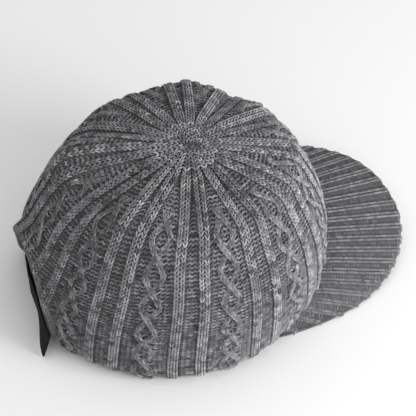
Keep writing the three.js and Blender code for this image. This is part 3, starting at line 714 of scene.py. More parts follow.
def yarn_tree(name, curves, sides, steps):
    """A tree that sets one yarn stitch on every guide point, turned and sized by the
    guide's own attributes."""
    tree = bpy.data.node_groups.new(name, "GeometryNodeTree")
    face = tree.interface
    face.new_socket("Guide", in_out="INPUT", socket_type="NodeSocketGeometry")
    for label, value in (
        ("Wale Width", 0.003),
        ("Course Height", 0.002),
        ("Yarn Radius", 0.0007),
        ("End Taper", 0.45),
        ("Looseness", 0.06),
    ):
        socket = face.new_socket(label, in_out="INPUT", socket_type="NodeSocketFloat")
        socket.default_value = value
    seed = face.new_socket("Seed", in_out="INPUT", socket_type="NodeSocketInt")
    seed.default_value = 7
    face.new_socket("Yarn", in_out="INPUT", socket_type="NodeSocketMaterial")
    face.new_socket("Stitches", in_out="OUTPUT", socket_type="NodeSocketGeometry")
    graph = Graph(tree)
    given = graph.node("NodeGroupInput")
    sizes = graph.node(
        "ShaderNodeCombineXYZ",
        {0: given.outputs["Wale Width"], 1: given.outputs["Course Height"], 2: given.outputs["Yarn Radius"]},
    ).outputs[0]
    joined = graph.node("GeometryNodeJoinGeometry")
    for points in curves:
        bezier = graph.node("GeometryNodeCurveQuadraticBezier", {"Resolution": steps})
        for key, share in zip(("Start", "Middle", "End"), points):
            placed = graph.node("ShaderNodeVectorMath", {0: share, 1: sizes}, operation="MULTIPLY")
            graph.link(placed.outputs[0], bezier.inputs[key])
        graph.link(bezier.outputs[0], joined.inputs[0])
    along = graph.node("GeometryNodeSplineParameter").outputs["Factor"]
    centred = graph.math("MULTIPLY_ADD", along, 2.0, -1.0)
    squared = graph.math("MULTIPLY", centred, centred)
    taper = graph.math("MULTIPLY", squared, given.outputs["End Taper"])
    full = graph.math("SUBTRACT", 1.0, taper)
    radius = graph.math("MULTIPLY", full, given.outputs["Yarn Radius"])
    kept = graph.node("GeometryNodeCaptureAttribute", {"Geometry": joined.outputs[0]}, domain="POINT")
    kept.capture_items.new("FLOAT", "run")
    graph.link(along, kept.inputs["run"])
    ring = graph.node("GeometryNodeCurvePrimitiveCircle", {"Resolution": sides, "Radius": 1.0})
    turned = graph.node("GeometryNodeCaptureAttribute", {"Geometry": ring.outputs[0]}, domain="POINT")
    turned.capture_items.new("FLOAT", "turn")
    graph.link(graph.node("GeometryNodeSplineParameter").outputs["Factor"], turned.inputs["turn"])
    yarn = graph.node(
        "GeometryNodeCurveToMesh",
        {"Curve": kept.outputs[0], "Profile Curve": turned.outputs[0], "Scale": radius, "Fill Caps": True},
    )
    marked = graph.node(
        "GeometryNodeStoreNamedAttribute",
        {"Geometry": yarn.outputs[0], "Name": "yarn_run", "Value": kept.outputs["run"]},
        data_type="FLOAT",
        domain="POINT",
    )
    marked = graph.node(
        "GeometryNodeStoreNamedAttribute",
        {"Geometry": marked.outputs[0], "Name": "yarn_turn", "Value": turned.outputs["turn"]},
        data_type="FLOAT",
        domain="POINT",
    )
    points = graph.node("GeometryNodeMeshToPoints", {"Mesh": given.outputs["Guide"]})
    turn = graph.node("GeometryNodeInputNamedAttribute", {"Name": "turn"}, data_type="QUATERNION")
    size = graph.node("GeometryNodeInputNamedAttribute", {"Name": "size"}, data_type="FLOAT_VECTOR")
    loose = given.outputs["Looseness"]
    low = graph.math("MULTIPLY", loose, -1.0)
    sway = graph.node(
        "FunctionNodeRandomValue",
        {"Min": low, "Max": loose, "Seed": given.outputs["Seed"]},
        data_type="FLOAT",
    )
    random = [s for s in sway.outputs if s.enabled][0]
    euler = graph.node("ShaderNodeCombineXYZ", {2: random}).outputs[0]
    swung = graph.node("FunctionNodeEulerToRotation", {0: euler})
    rotated = graph.node(
        "FunctionNodeRotateRotation",
        {"Rotation": turn.outputs[0], "Rotate By": swung.outputs[0]},
        rotation_space="LOCAL",
    )
    placed = graph.node(
        "GeometryNodeInstanceOnPoints",
        {
            "Points": points.outputs[0],
            "Instance": marked.outputs[0],
            "Rotation": rotated.outputs[0],
            "Scale": size.outputs[0],
        },
    )
    real = graph.node("GeometryNodeRealizeInstances", {0: placed.outputs[0]})
    soft = graph.node("GeometryNodeSetShadeSmooth", {0: real.outputs[0]})
    dyed = graph.node("GeometryNodeSetMaterial", {0: soft.outputs[0], "Material": given.outputs["Yarn"]})
    output = graph.node("NodeGroupOutput")
    graph.link(dyed.outputs[0], output.inputs[0])
    return tree


def rotations(across, up):
    """Quaternions of frames whose Y runs up the wale and Z out of the knit."""
    up = unit(up)
    out = unit(np.cross(across, up))
    side = np.cross(up, out)
    m = np.stack([side, up, out], -1)
    t = m[:, 0, 0] + m[:, 1, 1] + m[:, 2, 2]
    q = np.empty((len(m), 4))
    picks = np.stack([t, m[:, 0, 0], m[:, 1, 1], m[:, 2, 2]], -1).argmax(1)
    for pick in range(4):
        i = picks == pick
        a = m[i]
        if pick == 0:
            s = np.sqrt(1 + t[i]) * 2
            rows = (s / 4, (a[:, 2, 1] - a[:, 1, 2]) / s, (a[:, 0, 2] - a[:, 2, 0]) / s, (a[:, 1, 0] - a[:, 0, 1]) / s)
        else:
            j, k = pick % 3, (pick + 1) % 3
            h = pick - 1
            s = np.sqrt(np.maximum(1 + a[:, h, h] - a[:, j, j] - a[:, k, k], 1e-9)) * 2
            rows = [None] * 4
            rows[0] = (a[:, k, j] - a[:, j, k]) / s
            rows[1 + h] = s / 4
            rows[1 + j] = (a[:, j, h] + a[:, h, j]) / s
            rows[1 + k] = (a[:, k, h] + a[:, h, k]) / s
        q[i] = np.stack(rows, -1)
    return unit(q)


class Guide:
    """Places of stitches: points in millimetres with frames, sizes and tones, painted light included."""

    def __init__(self):
        self.parts = []

    def add(self, points, across, up, size, stitch_tone_and_painted_light):
        count = len(points)
        size = np.broadcast_to(np.asarray(size, float), (count, 3))
        stitch_tone_and_painted_light = np.broadcast_to(np.asarray(stitch_tone_and_painted_light, float), (count,))
        self.parts.append((points, across, up, size, stitch_tone_and_painted_light))

    def arrays(self):
        return [np.concatenate(list(rows)) for rows in zip(*self.parts)]


def knit_piece(name, guide, tree, sizes, yarn, replaces=(), seed=7):
    """Runs a yarn tree over a guide and keeps the result as a plain mesh."""
    points, across, up, size, stitch_tone_and_painted_light = guide.arrays()
    points = np.concatenate([points[:, :2], np.maximum(points[:, 2:], FLOOR_LIFT)], -1)
    mesh = bpy.data.meshes.new(name + "_guide")
    mesh.vertices.add(len(points))
    mesh.vertices.foreach_set("co", metres(points).ravel())
    for label, kind, values, field in (
        ("turn", "QUATERNION", rotations(across, up), "value"),
        ("size", "FLOAT_VECTOR", size, "vector"),
        ("stitch_tone_and_painted_light", "FLOAT", stitch_tone_and_painted_light, "value"),
    ):
        layer = mesh.attributes.new(label, kind, "POINT")
        layer.data.foreach_set(field, np.ascontiguousarray(values, np.float32).ravel())
    mesh.update()
    holder = bpy.data.objects.new(name + "_guide", mesh)
    bpy.context.scene.collection.objects.link(holder)
    modifier = holder.modifiers.new("stitches", "NODES")
    modifier.node_group = tree
    given = {
        item.name: item.identifier
        for item in tree.interface.items_tree
        if item.item_type == "SOCKET" and item.in_out == "INPUT"
    }
    for label, value in {**sizes, "Seed": seed, "Yarn": yarn}.items():
        modifier[given[label]] = value
    holder.update_tag()
    bpy.context.view_layer.update()
    depsgraph = bpy.context.evaluated_depsgraph_get()
    made = bpy.data.meshes.new_from_object(
        holder.evaluated_get(depsgraph), preserve_all_data_layers=True, depsgraph=depsgraph
    )
    made.name = name
    holder.modifiers.remove(modifier)
    bpy.data.objects.remove(holder)
    piece = bpy.data.objects.new(name, made)
    bpy.context.scene.collection.objects.link(piece)
    count = sum(len(p.vertices) - 2 for p in made.polygons)
    print(f"{name}: {len(points)} stitches, {count} triangles")
    if count == 0:
        raise RuntimeError(f"{name} came out empty")
    return finish_piece(piece, replaces=replaces)


def stitch_shades(count, rng, spread):
    return np.clip(1.0 + spread * rng.standard_normal(count), 0.35, 1.9)


def crown_frames(azimuth, along, lift, rounded=False):
    """Point, across and up of the dressed knit at azimuth and share. Rounded frames turn
    with the relief, the others with the ground."""

    def face(a, t):
        return knit_surface(a, t, relief(a, t) if rounded else np.zeros(np.shape(a)))

    width = repeat_width(along)
    turn = 30.0 / width * 0.35
    low, high = np.maximum(along - 0.004, 0.0), np.minimum(along + 0.004, 0.9985)
    across = face(azimuth - turn, along) - face(azimuth + turn, along)
    up = face(azimuth, high) - face(azimuth, low)
    point = knit_surface(azimuth, along, relief(azimuth, along) + lift)
    return point, across, up


def clear_of_edges(azimuth, along, margin):
    """Whether a stitch lies over the crown's lower edge, by a margin in millimetres."""
    height = rise_at(along) * HEIGHT
    plan = plan_point(azimuth) * SEAM_REACH
    edge = rim_height(azimuth, plan[..., 0])
    side = np.minimum(from_back(azimuth) / OPENING_HALF, 2.0)
    near_limb = (side < 1.0 + margin * 0.6 / 39.0) & (height < OPENING_HEIGHT * 0.9)
    limb_edge = OPENING_HEIGHT * np.sqrt(
        np.maximum(0, 1 - np.maximum(side - margin * 0.6 / 39.0, 0) ** OPENING_POWER)
    )
    return (height > edge + margin * 0.5) & ~(near_limb & (height < limb_edge))


def rib_wales(width):
    """Wale places across a rib pair, with the wale width, for one course."""
    rib, gap, _ = rib_layout(width)
    if width > 11.0:
        middle = (gap + rib) / 2
        quarter = rib / 4
        places = [-middle - quarter, -middle + quarter, middle - quarter, middle + quarter]
        return places, rib / 2
    if width > 5.6:
        return [-width / 4, width / 4], width / 2
    return [0.0], width


def purl_wales(room):
    """Wale places across a purl stretch of the given width."""
    count = int(round(room / 3.07))
    if count < 1 or room < 1.7:
        return [], 0.0
    step = room / count
    return [(i - (count - 1) / 2) * step for i in range(count)], step


def crown_guides(rng):
    """Guides of the rib, cable and purl stitches, course by course."""
    ribs_low, ribs_high, cables = Guide(), Guide(), Guide()
    purls_near, purls_far = Guide(), Guide()
    pairs = FIRST_PAIR + np.arange(REPEATS) * 30.0
    heights = np.gradient(np.interp(COURSE_AT, _table, _run))
    for course, along in enumerate(COURSE_AT):
        width = float(repeat_width(along))
        tall = float(heights[course])
        rib, gap, panel = rib_layout(width)
        places, wale = rib_wales(width)
        target = ribs_low if course < 30 else ribs_high
        share = np.full(REPEATS, along)
        for place in places:
            azimuth = pairs + place / width * 30.0
            keep = clear_of_edges(azimuth, share, 1.4)
            if not keep.any():
                continue
            point, across, up = crown_frames(azimuth[keep], share[keep], 0.15, True)
            fat = min(1.0, wale / 3.25)
            size = (wale / 3.25, tall / 2.2, mix(0.75, 1.0, fat))
            # painted light: rib stitches are coloured a fifth lighter than the same yarn elsewhere, as raised ribs
            # catch more light
            target.add(point, across, up, size, stitch_shades(keep.sum(), rng, 0.3) * 1.2)
        # purl wales between the ribs of a pair and across the panel
        for middle, room in ((0.0, gap), (width / 2, panel)):
            wales, step = purl_wales(float(room) - 0.3)
            for place in wales:
                azimuth = pairs + (middle + place) / width * 30.0
                keep = clear_of_edges(azimuth, share, 1.4)
                if middle and along < CABLE_END:
                    swing, _ = cable_swing(share, panel)
                    under = np.minimum(np.abs(place - swing), np.abs(place + swing))
                    keep &= under > 1.1
                if not keep.any():
                    continue
                point, across, up = crown_frames(azimuth[keep], share[keep], 0.0)
                size = (step / 3.07, tall / 2.2, 1.0)
                near = (around(azimuth[keep]) > 20) & (around(azimuth[keep]) < 200)
                # painted shade: purl stitches, sunk between ribs and cables, are coloured a little darker
                stitch_tone_and_painted_light = stitch_shades(keep.sum(), rng, 0.3) * 0.92
                for pick, side in ((near, purls_near), (~near, purls_far)):
                    if pick.any():
                        side.add(point[pick], across[pick], up[pick], size, stitch_tone_and_painted_light[pick])
        # two knit wales on each cable strand, following its swing
        if along < CABLE_END:
            step = 0.003
            here, over = cable_swing(share, panel)
            ahead, _ = cable_swing(share + step, panel)
            climb = float(np.interp(along + step, _table, _run) - np.interp(along, _table, _run))
            for sign in (1, -1):
                slope = (ahead - here) * sign / climb
                stretch = np.sqrt(1 + np.minimum(slope**2, 1.6))
                for wale_side in (-0.5, 0.5):
                    place = sign * here + wale_side * STRAND_WIDTH * 0.5 * stretch
                    azimuth = pairs + (width / 2 + place) / width * 30.0
                    keep = clear_of_edges(azimuth, share, 1.4)
                    if not keep.any():
                        continue
                    top = sign * over > 0.25
                    lift = np.where(top, 0.35, 0.05)[keep]
                    a, t = azimuth[keep], share[keep]
                    point, across, up = crown_frames(a, t, lift)
                    side, rise = unit(across), unit(up)
                    # increasing azimuth runs against `across`
                    lean = rise - side * slope[keep][:, None]
                    size = np.stack(
                        [
                            np.full(keep.sum(), STRAND_WIDTH * 0.5 / 3.25),
                            tall / 2.2 * stretch[keep],
                            np.full(keep.sum(), 0.8),
                        ],
                        -1,
                    )
                    # painted light: cable stitches are coloured a quarter lighter, as raised strands catch more light
                    stitch_tone_and_painted_light = stitch_shades(keep.sum(), rng, 0.3) * 1.25
                    cables.add(point, side - rise * 0, lean, size, stitch_tone_and_painted_light)
    return ribs_low, ribs_high, cables, purls_near, purls_far


def crown_ground(name):
    """Closed shell under the stitches, with the inner face of the crown."""
    columns = np.arange(0, 360, 1.0)
    limb = OPENING_HALF * np.array([0.93, 0.96, 0.985, 0.996, 1.0, 1.01])
    columns = np.unique(np.concatenate([columns, 180 - limb, 180 + limb]))
    edge = rim_along(columns)
    rows = np.concatenate([np.linspace(0.004, 0.9, 70), np.linspace(0.91, 0.992, 12)])
    inner_rows = np.concatenate([np.linspace(0.03, 0.9, 26), [0.94, 0.97, 0.988]])
    rings, wales, courses = [], [], []
    wale = columns / 360 * REPEATS * 16

    def add(ring, along):
        rings.append(ring)
        wales.append(wale)
        courses.append(course_of(along) * np.ones(len(columns)))

    for row in rows[::-1]:
        along = squeezed(row, edge)
        add(knit_surface(columns, along, relief(columns, along) - 0.75), along)
    flat = knit_surface(columns, edge, np.full(len(columns), -0.9))
    flat[:, 2] = rim_height(columns, flat[:, 0])
    add(flat, edge)
    under = knit_surface(columns, edge, np.full(len(columns), -WALL))
    under[:, 2] = rim_height(columns, under[:, 0])
    add(under, edge)
    for row in inner_rows:
        along = squeezed(row, edge)
        add(knit_surface(columns, along, np.full(len(columns), -WALL)), along)
    count = len(columns)
    points = np.concatenate(rings)
    apex = ground_point(0.0, 1.0)
    tips = np.stack([apex - [0, 0, PIT_DEPTH + 0.75], apex - [0, 0, PIT_DEPTH + WALL]])
    points = np.concatenate([points, tips])
    faces = []
    for r in range(len(rings) - 1):
        a, b = r * count, (r + 1) * count
        for i in range(count):
            j = (i + 1) % count
            faces.append((a + i, b + i, b + j, a + j))
    outer_tip, inner_tip = len(points) - 2, len(points) - 1
    last = (len(rings) - 1) * count
    for i in range(count):
        j = (i + 1) % count
        faces.append((outer_tip, i, j))
        faces.append((inner_tip, last + j, last + i))
    piece = mesh_object(name, metres(points), faces)
    uv = piece.data.uv_layers.new(name="knit")
    u = np.concatenate(wales + [np.zeros(2)])
    v = np.concatenate(courses + [np.full(2, COURSE_COUNT)])
    corners = np.empty(len(piece.data.loops), int)
    piece.data.loops.foreach_get("vertex_index", corners)
    values = np.stack([u[corners], v[corners]], -1)
    # the last column's faces reach past the start of the wale count
    starts = np.empty(len(piece.data.polygons), int)
    totals = np.empty(len(piece.data.polygons), int)
    piece.data.polygons.foreach_get("loop_start", starts)
    piece.data.polygons.foreach_get("loop_total", totals)
    for start, total in zip(starts, totals):
        part = values[start : start + total, 0]
        if part.max() - part.min() > REPEATS * 8:
            part[part < REPEATS * 8] += REPEATS * 16
    uv.data.foreach_set("uv", values.ravel())
    shade_smooth(piece)
    face_outward(piece)
    return piece


# ---- peak


def peak_lines(u):
    azimuth = -PEAK_CORNER * u
    plan = plan_point(azimuth)
    seam = plan * (SEAM_REACH - hem_inset_at(around(azimuth)))[..., None]
    inward = WALL + PEAK_ROOT_MARGIN
    root = seam * (1 - inward / np.linalg.norm(seam, axis=-1))[..., None]
    turn = u * math.pi / 2
    tip = FRONT_REACH * SEAM_REACH + PEAK_REACH
    corner_y = abs(_corner[1]) * SEAM_REACH
    edge = np.stack(
        [
            np.sign(u) * PEAK_HALF_WIDTH * np.abs(np.sin(turn)) ** 0.9,
            -corner_y - (tip - corner_y) * np.abs(np.cos(turn)) ** 0.8,
        ],
        -1,
    )
    return root, seam, edge


def peak_section(u, proud):
    """Points round the peak at one place across it, from the root over the top, round
    the edge and back underneath."""
    root, seam, edge = peak_lines(np.array([u]))
    root, seam, edge = root[0], seam[0], edge[0]
    length = np.linalg.norm(edge - seam)
    inset = min(PEAK_EDGE, length * 0.45)
    way = (edge - seam) / length

    def at(run):
        plan = seam + way * run
        return plan, float(peak_under(plan[0], run)), float(peak_thickness(plan[0]))

    points = []
    z = float(peak_under(root[0], 0) + peak_thickness(root[0]))
    points.append((*root, z - 0.6))
    steps = max(3, int(length / 2.2))
    for run in np.linspace(0, length - inset, steps):
        plan, low, thick = at(run)
        rise = proud * float(smooth(RIB_WIDTH, RIB_WIDTH * 2, run)) - 0.6
        points.append((*plan, low + thick + rise))
    plan, low, thick = at(length - inset)
    for angle in np.linspace(70, -70, 6):
        a = math.radians(angle)
        spot = plan + way * (inset - 0.45) * math.cos(a) * 1.02
        half = thick / 2 - 0.3
        points.append((*spot, low + thick / 2 + half * math.sin(a)))
    for run in np.linspace(length - inset, 0, steps):
        plan, low, thick = at(run)
        points.append((*plan, low + 0.25))
    points.append((*root, float(peak_under(root[0], 0)) + 0.25))
    return np.array(points)


def peak_rib_middles():
    pitch = 2 / PEAK_RIBS
    return -1 + (np.arange(PEAK_RIBS) + 0.5) * pitch, pitch


def peak_rib_share(u):
    middles, pitch = peak_rib_middles()
    gap = np.min(np.abs(u - middles))
    return math.sqrt(max(0.0, 1 - (gap / (pitch * 0.36)) ** 2))


def resampled(line, count):
    run = np.concatenate([[0], np.cumsum(np.linalg.norm(np.diff(line, axis=0), axis=1))])
    at = np.linspace(0, run[-1], count)
    return np.stack([np.interp(at, run, line[:, k]) for k in range(3)], -1), run[-1]


def peak_ground(name):
    """Closed ribbed skin of the peak, top, rounded edge and underside."""
    us = np.linspace(-1, 1, PEAK_RIBS * 7 + 1)
    count = 64
    lines, runs = [], []
    for u in us:
        line = peak_section(u, PEAK_RELIEF * 0.8 * peak_rib_share(u))
        line, run = resampled(line, count)
        lines.append(line)
        runs.append(np.linspace(0, run, count))
    points = np.concatenate(lines)
    wale = np.repeat((us + 1) / 2 * PEAK_RIBS * 4, count)
    course = np.concatenate(runs) / 1.95
    faces = []
    for i in range(len(us) - 1):
        for j in range(count):
            k = (j + 1) % count
            a, b = i * count, (i + 1) * count
            faces.append((a + j, a + k, b + k, b + j))
    faces.append(tuple(range(count))[::-1])
    faces.append(tuple(range((len(us) - 1) * count, len(us) * count)))
    piece = mesh_object(name, metres(points), faces)
    uv = piece.data.uv_layers.new(name="knit")
    corners = np.empty(len(piece.data.loops), int)
    piece.data.loops.foreach_get("vertex_index", corners)
    uv.data.foreach_set("uv", np.stack([wale[corners], course[corners]], -1).ravel())
    shade_smooth(piece)
    face_outward(piece)
    return piece


class PeakFace:
    """The peak's dressed outline sampled once, then read at any place and run."""

    STEP = 0.5
    LONGEST = 90.0

    def __init__(self):
        self.us = np.linspace(-1, 1, PEAK_RIBS * 14 + 1)
        self.runs = np.arange(0, self.LONGEST, self.STEP)
        lines = []
        for u in self.us:
            line = peak_section(u, PEAK_RELIEF * 0.8 * peak_rib_share(u))[1:]
            run = np.concatenate([[0], np.cumsum(np.linalg.norm(np.diff(line, axis=0), axis=1))])
            lines.append(np.stack([np.interp(self.runs, run, line[:, k]) for k in range(3)], -1))
        self.grid = np.array(lines)

    def at(self, u, run):
        x = np.clip((np.asarray(u) + 1) / 2, 0, 1) * (len(self.us) - 1)
        y = np.clip(np.asarray(run) / self.STEP, 0, len(self.runs) - 1.001)
        i = np.minimum(x.astype(int), len(self.us) - 2)
        j = y.astype(int)
        a, b = (x - i)[..., None], (y - j)[..., None]
        near = mix(self.grid[i, j], self.grid[i + 1, j], a)
        far = mix(self.grid[i, j + 1], self.grid[i + 1, j + 1], a)
        return mix(near, far, b)


def peak_guides(rng):
    """Knit wales along the ribs and purl wales between them."""
    face = PeakFace()
    middles, pitch = peak_rib_middles()
    rooms = []
    for middle in middles:
        before = peak_lines(np.array([middle - pitch / 2]))
        after = peak_lines(np.array([middle + pitch / 2]))
        rooms.append([float(np.linalg.norm(after[k] - before[k])) for k in (1, 2)])
    _, seam, edge = peak_lines(middles)
    lengths = np.linalg.norm(edge - seam, axis=-1)
    ribs, flats = [], []
    for middle, length, (seam_room, edge_room) in zip(middles, lengths, rooms):
        for run in np.arange(0.9, length + 7, PEAK_COURSE):
            room = mix(seam_room, edge_room, min(1.0, run / length))
            wale = min(PEAK_WALE, room * 0.24)
            for side in (-0.8, 0.8):
                if run < length + (3 if length > CORNER_LENGTH else -1):
                    ribs.append((middle + side * wale / room * pitch, run, wale))
            if run > length - (0 if length > CORNER_LENGTH else 2) or middle + pitch > 1:
                continue
            flat = room - 3 * wale
            count = 2 if flat > 3.4 else 1
            for k in range(count):
                off = (k - (count - 1) / 2) * flat / count
                flats.append((middle + pitch / 2 + off / room * pitch, run, flat / count))
    guides = []
    # painted light: peak rib stitches are coloured about half again lighter and the flats between them a little darker
    # than the plain yarn, so the ribs read as bright lines
    for rows, wide, tone_and_painted_light, lift in ((ribs, 3.25, 1.55, 0.45), (flats, 3.07, 0.95, 0.2)):
        u, run, wale = np.array(rows).T
        guide = Guide()
        across = face.at(u - pitch * 0.12, run) - face.at(u + pitch * 0.12, run)
        up = face.at(u, run + 0.5) - face.at(u, np.maximum(run - 0.5, 0))
        point = face.at(u, run) + unit(np.cross(across, up)) * lift
        size = np.stack([wale / wide, np.full(len(u), PEAK_COURSE / 2.2), np.full(len(u), 0.85)], -1)
        guide.add(point, across, up, size, stitch_shades(len(u), rng, 0.15) * tone_and_painted_light)
        guides.append(guide)
    return guides


# ---- strap and slide


LAYER = (SLIDE_THICKNESS + STRAP_THICKNESS) / 2 + CLEARANCE
STRAP_Z = STRAP_LIFT + STRAP_WIDTH / 2
WALL_GAP = WALL + CLEARANCE + STRAP_THICKNESS / 2


def course_oval(azimuth, outward):
    plan = plan_point(np.asarray(azimuth, float)) * SEAM_REACH
    length = np.linalg.norm(plan)
    across = np.clip(1 - (from_back(azimuth) / OPENING_HALF) ** 2, 0, 1)
    return plan * ((length - WALL_GAP - STRAP_TAUT * across + outward) / length)


SLIDE_ORIGIN = course_oval(SLIDE_CENTRE, LAYER)
SLIDE_RUN = unit(course_oval(SLIDE_CENTRE + 3, 0) - course_oval(SLIDE_CENTRE - 3, 0))
SLIDE_OUT = np.array([-SLIDE_RUN[1], SLIDE_RUN[0]])
SLIDE_LENGTH = SLIDE_BAR * 3 + SLIDE_NEAR_SLOT + SLIDE_FAR_SLOT
NEAR_END = -SLIDE_LENGTH / 2
MIDDLE_BAR_END = NEAR_END + SLIDE_BAR * 2 + SLIDE_NEAR_SLOT
FAR_BAR_START = MIDDLE_BAR_END + SLIDE_FAR_SLOT


def slide_plan(run, out):
    return SLIDE_ORIGIN + SLIDE_RUN * run + SLIDE_OUT * out


def bend(run, way):
    angles = -math.pi / 2 + math.pi * np.arange(13) / 12
    return [(slide_plan(run + way * LAYER * math.cos(a), LAYER * math.sin(a)), 0.0, STRAP_Z) for a in angles]


def strap_course():
    start = 180 - OPENING_HALF - STRAP_SEWN
    reach = (SLIDE_LENGTH / 2 + STRAP_WIDTH * 0.4) / REAR_REACH
    stop = SLIDE_CENTRE - math.degrees(reach)
    places = [(course_oval(mix(start, stop, i / 9), 0), 0.0, STRAP_Z) for i in range(10)]
    places.append((slide_plan(NEAR_END, -LAYER), 0.0, STRAP_Z))
    places += bend(MIDDLE_BAR_END, 1)
    places.append((slide_plan(NEAR_END, LAYER), 0.0, STRAP_Z))
    for along, out, lean, drop in TAIL:
        plan = course_oval(mix(stop, TAIL_END, along), 2 * LAYER + TAIL_FLARE * out)
        places.append((plan, -math.radians(TAIL_LEAN) * lean, STRAP_Z - TAIL_DROP * drop))
    return places


def anchor_course():
    start = 180 + OPENING_HALF + STRAP_SEWN
    reach = (SLIDE_LENGTH / 2 + STRAP_WIDTH * 0.25) / REAR_REACH
    stop = SLIDE_CENTRE + math.degrees(reach)
    apart = STRAP_THICKNESS + CLEARANCE
    inner, outer = [], []
    for i in range(5):
        azimuth = mix(start, stop, i / 4)
        inner.append((course_oval(azimuth, mix(-apart, 0, i / 4)), 0.0, STRAP_Z))
        outer.append((course_oval(azimuth, mix(0, 2 * LAYER, (i / 4) ** 2)), 0.0, STRAP_Z))
    ends = FAR_BAR_START + SLIDE_BAR
    return (
        inner
        + [(slide_plan(ends, -LAYER), 0.0, STRAP_Z)]
        + bend(FAR_BAR_START, -1)
        + [(slide_plan(ends, LAYER), 0.0, STRAP_Z)]
        + outer[::-1]
    )


def dense_course(places, step):
    """The course as closely spaced centres with leans, smoothed between its places."""
    centres = np.array([(*plan, z) for plan, _, z in places])
    leans = np.array([lean for _, lean, _ in places])
    run = np.concatenate([[0], np.cumsum(np.linalg.norm(np.diff(centres, axis=0), axis=1))])
    count = max(8, int(run[-1] / step))
    at = np.linspace(0, run[-1], count)
    curves = [curve_through(run, centres[:, k]) for k in range(3)]
    dense = np.stack([curve(at) for curve in curves], -1)
    return dense, curve_through(run, leans)(at), at


def band_piece(name, places, look, node):
    """A webbing band: a rounded flat section carried along its course."""
    centres, leans, run = dense_course(places, 0.9)
    tangents = unit(np.gradient(centres, axis=0))
    faces_out = unit(np.stack([tangents[:, 1], -tangents[:, 0], np.zeros(len(tangents))], -1))
    up = np.tile(np.array([0.0, 0.0, 1.0]), (len(centres), 1))
    c, s = np.cos(leans)[:, None], np.sin(leans)[:, None]
    turned_up = up * c + np.cross(tangents, up) * s
    turned_out = faces_out * c + np.cross(tangents, faces_out) * s
    half, thick = STRAP_WIDTH / 2, STRAP_THICKNESS / 2 * 0.96
    edge = thick * 0.8
    section = []
    for k in np.linspace(-half + edge, half - edge, 11):
        section.append((k, thick))
    for a in (60, 30, 0, -30, -60):
        section.append((half - edge + edge * math.cos(math.radians(a)), thick * math.sin(math.radians(a))))
    for k in np.linspace(half - edge, -half + edge, 11):
        section.append((k, -thick))
    for a in (-120, -150, 180, 150, 120):
        section.append((-half + edge + edge * math.cos(math.radians(a)), thick * math.sin(math.radians(a))))
    section = np.array(section)
    n, m = len(centres), len(section)
    points = (
        centres[:, None]
        + turned_up[:, None] * section[None, :, :1]
        + turned_out[:, None] * section[None, :, 1:]
    ).reshape(-1, 3)
    faces = []
    for i in range(n - 1):
        for j in range(m):
            k = (j + 1) % m
            faces.append((i * m + j, i * m + k, (i + 1) * m + k, (i + 1) * m + j))
    faces.append(tuple(range(m))[::-1])
    faces.append(tuple(range((n - 1) * m, n * m)))
    piece = mesh_object(name, metres(points), faces)
    uv = piece.data.uv_layers.new(name="band")
    corners = np.empty(len(piece.data.loops), int)
    piece.data.loops.foreach_get("vertex_index", corners)
    uv.data.foreach_set(
        "uv", np.stack([run[corners // m], section[corners % m, 0]], -1).ravel()
    )
    shade_smooth(piece)
    face_outward(piece)
    finish_piece(piece, look, [node])
    return centres, tangents, turned_up, turned_out, run


def thread_rows(guide, band, at, rows, rng, length=2.4):
    """Straight rows of sewing across a band near a place along it, on both faces."""
    centres, tangents, up, out, run = band
    for offset in rows:
        i = int(np.clip(np.searchsorted(run, at + offset), 1, len(run) - 2))
        for k in np.arange(-STRAP_WIDTH / 2 + 1.6, STRAP_WIDTH / 2 - 1.2, length):
            for side in (1, -1):
                point = centres[i] + up[i] * k + out[i] * side * (STRAP_THICKNESS / 2 + 0.02)
                across = up[i] * side
                guide.add(point[None], across[None], tangents[i][None], (1, 1, 1), 1.0)


def slide_piece(name, look):
    """Plate with two slots and softened edges."""
    tall = STRAP_WIDTH / 2 + CLEARANCE
    half = tall + SLIDE_END_BAR
    first = (NEAR_END + SLIDE_BAR, NEAR_END + SLIDE_BAR + SLIDE_NEAR_SLOT)
    second = (MIDDLE_BAR_END, FAR_BAR_START)
    xs = [NEAR_END, *first, *second, -NEAR_END]
    far_tall = tall + SLIDE_FAR_EASE
    ys = [-half, -far_tall, far_tall, half]
    mesh = bmesh.new()
    grid = [[mesh.verts.new((x, y, -SLIDE_THICKNESS / 2)) for y in ys] for x in xs]
    for j, i in ((1, 1), (1, 2)):
        grid[j][i].co.y = math.copysign(tall, ys[i])
        grid[j + 1][i].co.y = math.copysign(tall, ys[i])
    cells = []
    for i in range(len(xs) - 1):
        for j in range(len(ys) - 1):
            if j == 1 and i in (1, 3):
                continue
            cells.append(mesh.faces.new((grid[i][j], grid[i + 1][j], grid[i + 1][j + 1], grid[i][j + 1])))
    made = bmesh.ops.extrude_face_region(mesh, geom=cells)
    top = [v for v in made["geom"] if isinstance(v, bmesh.types.BMVert)]
    bmesh.ops.translate(mesh, verts=top, vec=(0, 0, SLIDE_THICKNESS))
    bmesh.ops.recalc_face_normals(mesh, faces=mesh.faces)
    sharp = [e for e in mesh.edges if len(e.link_faces) == 2 and e.calc_face_angle(0) > 0.9]
    bmesh.ops.bevel(mesh, geom=sharp, offset=0.45, segments=3, affect="EDGES", profile=0.5)
    for vert in mesh.verts:
        run, up, out = vert.co
        plan = slide_plan(run, out)
        vert.co = Vector(metres((plan[0], plan[1], STRAP_Z + up)))
    bmesh.ops.recalc_face_normals(mesh, faces=mesh.faces)
    data = bpy.data.meshes.new(name)
    mesh.to_mesh(data)
    mesh.free()
    piece = bpy.data.objects.new(name, data)
    bpy.context.scene.collection.objects.link(piece)
    shade_smooth(piece)
    face_outward(piece)
    return finish_piece(piece, look, ["strap_slide"])


# ---- turned edge round the opening


def opening_line(count):
    """Middle of the wall along the opening's edge, from one hem corner to the other."""
    turn = np.linspace(-1, 1, count)
    azimuth = 180 + OPENING_HALF * np.sign(turn) * np.abs(np.sin(turn * math.pi / 2)) ** 1.0
    along = rim_along(azimuth)
    return azimuth, knit_surface(azimuth, along, np.full(count, -WALL / 2))


